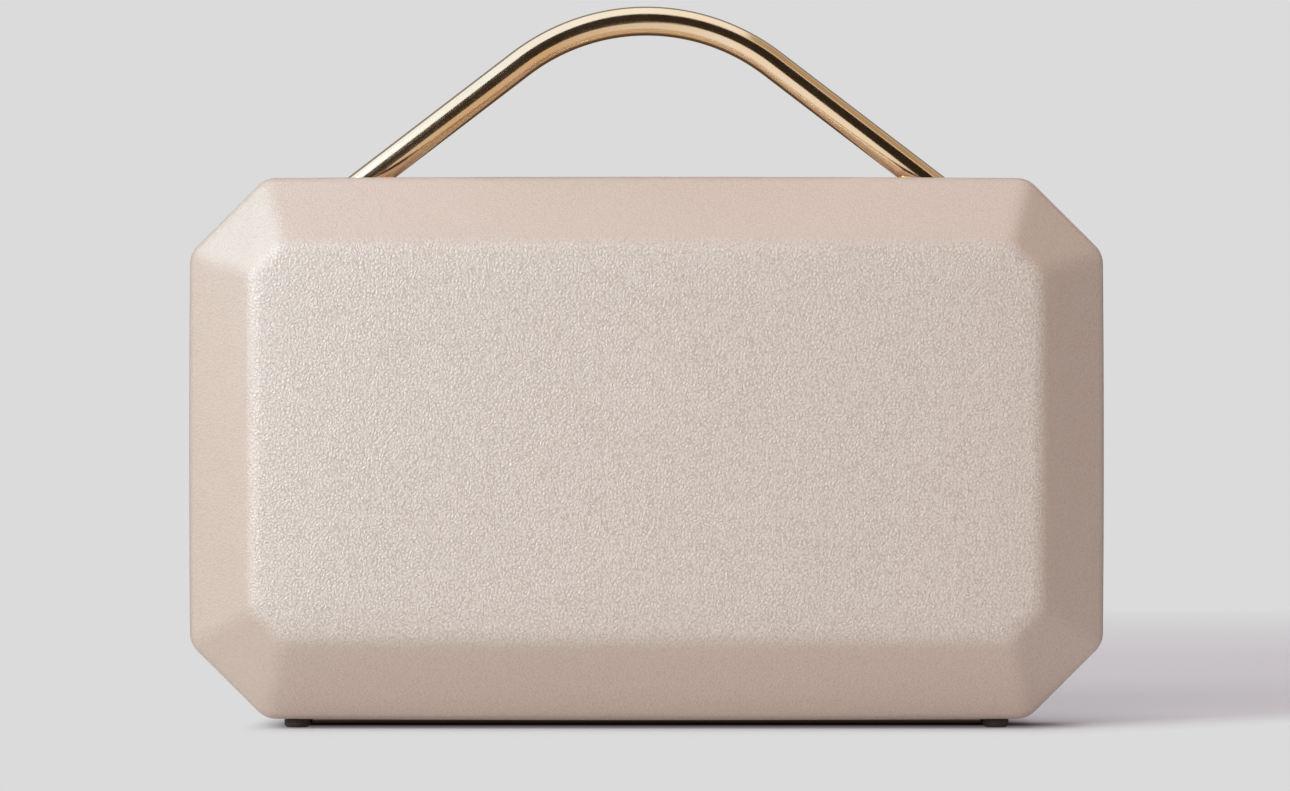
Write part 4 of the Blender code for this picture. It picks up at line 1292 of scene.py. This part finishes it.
@dataclass
class Studio:
    """Pale table and backdrop, soft light, and the camera at the photograph's place."""

    backdrop: tuple = linear(219, 219, 219)
    ambient: float = 0.10
    # Colour of the painted shade under the body.
    shade: tuple = (0.085, 0.050, 0.035, 1.0)
    floor_reach: float = 6.0
    shadow_tint: tuple = linear(223, 219, 224)
    painted_shade_front: tuple = (-0.0150, -0.0060)
    painted_shade_back: tuple = (0.027, 0.044)
    painted_shade_side: tuple = (0.076, 0.088)
    shadow_front: tuple = (-0.045, 0.006)
    shadow_back: tuple = (0.45, 1.10)
    shadow_right: tuple = (0.16, 0.26)
    body_end: float = 0.085
    body_back: float = 0.04
    beside_slope: float = 0.9
    left_line: tuple = (-0.20, 0.0835)
    left_breadth: tuple = (0.12, 0.011)
    camera_distance: float = 1.0
    camera_height: float = 0.0500
    camera_x: float = -0.00033
    focal_length: float = 126.2
    sensor_width: float = 36.0
    shift_y: float = 0.081

    def world(self) -> None:
        """Faint light from all round, and the backdrop's colour for the camera and in reflections."""
        sketch = WorldSketch("studio")
        rays = sketch.add("ShaderNodeLightPath").outputs
        mirrored = sketch.math("MAXIMUM", rays["Is Glossy Ray"], rays["Is Transmission Ray"])
        seen = sketch.math("MAXIMUM", rays["Is Camera Ray"], mirrored)
        light = sketch.add("ShaderNodeBackground", {"Strength": self.ambient})
        view = sketch.add("ShaderNodeBackground", {"Color": self.backdrop})
        surface = sketch.mix_shaders(seen, light.outputs[0], view.outputs[0])
        sketch.add("ShaderNodeOutputWorld", {"Surface": surface})

    def painted_contact_shade(self, sketch: Sketch) -> Socket:
        """Painted deep shade on the table, in the slot between it and the body's flat underside."""
        place = sketch.split(sketch.place)
        front = sketch.remap(place["Y"], self.painted_shade_front)
        back = sketch.remap(place["Y"], self.painted_shade_back, (1.0, 0.0))
        side = sketch.remap(sketch.math("ABSOLUTE", place["X"]), self.painted_shade_side, (1.0, 0.0))
        return sketch.math("MULTIPLY", side, sketch.math("MULTIPLY", front, back))

    def painted_shadow_streak(self, sketch: Sketch) -> Socket:
        """Where the table is lit by the lamps instead of glowing: round the base, and in a streak that runs back
        from it. The lit table is darker than the glow, so the streak is a painted shadow as well as the lamps'
        real one.
        """
        place = sketch.split(sketch.place)
        across, deep = place["X"], place["Y"]
        beside = sketch.math("MULTIPLY", sketch.beyond(across, self.body_end), self.beside_slope)
        front = sketch.remap(sketch.math("SUBTRACT", deep, beside), self.shadow_front)
        back = sketch.remap(deep, self.shadow_back, (1.0, 0.0))
        behind = sketch.beyond(deep, self.body_back)
        past_left = sketch.math("ADD", across, sketch.line(behind, *self.left_line))
        edge = sketch.math("DIVIDE", past_left, sketch.line(behind, *self.left_breadth))
        left = sketch.remap(edge, (-0.5, 0.5))
        spread = sketch.math("DIVIDE", across, sketch.math("ADD", behind, 1.0))
        right = sketch.remap(spread, self.shadow_right, (1.0, 0.0))
        ends = sketch.math("MULTIPLY", front, back)
        return sketch.math("MULTIPLY", ends, sketch.math("MULTIPLY", left, right))

    def floor(self) -> None:
        """Table with the clutch's shadow, painted shade under the body and a painted shadow streak, which runs
        out into the backdrop.
        """
        reach = self.floor_reach
        mesh = bpy.data.meshes.new("table")
        mesh.from_pydata(level(-reach, -reach, reach, reach, 0), [], [(0, 1, 2, 3)])
        sketch = Sketch("table_paint")
        sketch.give("Specular IOR Level", 0.0)
        sketch.give("Roughness", 1.0)
        # The table's colour paints deep shade under the body.
        sketch.give("Base Color", sketch.ramp(
            self.painted_contact_shade(sketch), [(0.0, self.shadow_tint), (1.0, self.shade)]))
        # Outside the painted shadow streak the table glows in the backdrop's colour.
        fade = sketch.math("SUBTRACT", 1.0, self.painted_shadow_streak(sketch))
        glow = sketch.add("ShaderNodeEmission", {"Color": self.backdrop})
        sketch.show(sketch.mix_shaders(fade, sketch.shader.outputs[0], glow.outputs[0]))
        mesh.materials.append(sketch.material)
        item = add_object("table", mesh)

    def lamps(self) -> None:
        """Broad lamps from above and the front left, a near one, and two that only make sheen."""
        middle, corner = Vector((0, 0, 0.06)), Vector((-0.09, -0.02, 0.11))
        near, small = (-0.42, -0.38, 0.24), (-0.235, -0.060, 0.250)
        Lamp("overhead", (0.0, 0.0, 1.0), breadth_degrees=60.0, strength=1.74,
             colour=(1.00, 0.99, 0.99), glossy=False).build()
        Lamp("front_left", (-0.35, -0.90, 0.25), breadth_degrees=50.0, strength=1.70,
             colour=(1.00, 0.86, 0.82), glossy=False).build()
        Panel("near_left", near, size=0.30, power=1.60,
              colour=(0.75, 1.00, 1.04), glossy=False).build(middle)
        Panel("ridge_sheen", near, size=0.30, power=3.72,
              colour=(0.99, 0.98, 1.07), diffuse=False).build(middle)
        Panel("corner_sheen", small, size=0.10, power=0.24,
              colour=(0.50, 1.05, 1.20), diffuse=False).build(corner)

    def cards(self) -> None:
        """Cards that the gold and the leather's top coat reflect."""
        side, far, top, near, roof = 1.6, 1.2, 1.75, -0.40, 0.85
        dark, grey, brown, bronze = (0.026, 0.019, 0.012), (0.24,) * 3, (0.10, 0.065, 0.035), (0.45, 0.34, 0.22)
        for name, corners, colour in (
                ("dark_front", upright(-side, side, -far, top), dark),
                ("dark_back", upright(-side, side, far, top), grey),
                ("dark_table", level(-side, -far, side, near, 0.001), dark),
                ("back_table", level(-side, 0.06, side, far, 0.001), brown)):
            Card(name, corners, ((0, colour),)).build()
        Card("bright_table", patch(
            0.002, (-side, 0.01 - far), (-0.05, 0.01 - far), (0.0, near), (side, near), (side, -0.06),
            (-side, -0.06)), (
            (-0.06, (0.88, 0.90, 0.94)), (0.0, (0.72, 0.72, 0.72)), (0.06, (0.62, 0.50, 0.37)))).build()
        Card("softbox", patch(
            roof, (-side, -1.15), (-0.75, -1.15), (0.0, -0.42), (0.37, -0.36), (0.37, 0.40), (-side, 0.40)), (
            (-0.72, (0.95, 1.20, 1.60)), (0.0, (0.96, 1.10, 1.26)), (0.30, (0.93, 0.98, 1.05)))).build()
        Card("bronze_roof", level(0.37, -0.38, side, 0.40, roof), ((0, bronze),)).build()

    def camera(self) -> None:
        """Camera at the photograph's angle."""
        data = bpy.data.cameras.new("camera")
        data.lens = self.focal_length
        data.sensor_width = self.sensor_width
        data.shift_y = self.shift_y
        item = add_object("camera", data)
        item.location = (self.camera_x, -self.camera_distance, self.camera_height)
        item.rotation_euler = (math.pi / 2, 0, 0)
        bpy.context.scene.camera = item

    def build(self) -> None:
        """Set up the whole studio."""
        bpy.context.scene.view_settings.view_transform = "Standard"
        self.world()
        self.floor()
        self.lamps()
        self.cards()
        self.camera()


def main() -> None:
    """Build, cut and dress every piece, then set up the studio."""
    logging.basicConfig(level=logging.INFO, format="%(name)s: %(message)s")
    palette = Palette()
    palette.mix()
    palette.dress_nodes()
    low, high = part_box("back_leather_cover")
    form = BodyForm(half_width=high.x, base=low.z, roof=high.z)
    front, back = Shell("front", -1, form), Shell("back", 1, form)
    handle = CarryHandle(form.roof)
    trim = ButtonTrim(form.roof)
    assemblies = (front, back, handle, trim, PressSpring(), PatchPocket())
    for assembly in assemblies:
        assembly.build()
        LOG.info("built %s", type(assembly).__name__)
    cutters = handle.bores(CUTTER_CLEARANCE) + trim.well(CUTTER_CLEARANCE)
    for piece in (back.leather_piece, back.lining_piece):
        cut_holes(piece, cutters)
    for cutter in cutters:
        bpy.data.objects.remove(cutter, do_unlink=True)
    for assembly in assemblies:
        assembly.dress(palette)
        LOG.info("dressed %s", type(assembly).__name__)
    Studio().build()


if __name__ == "__main__":
    main()
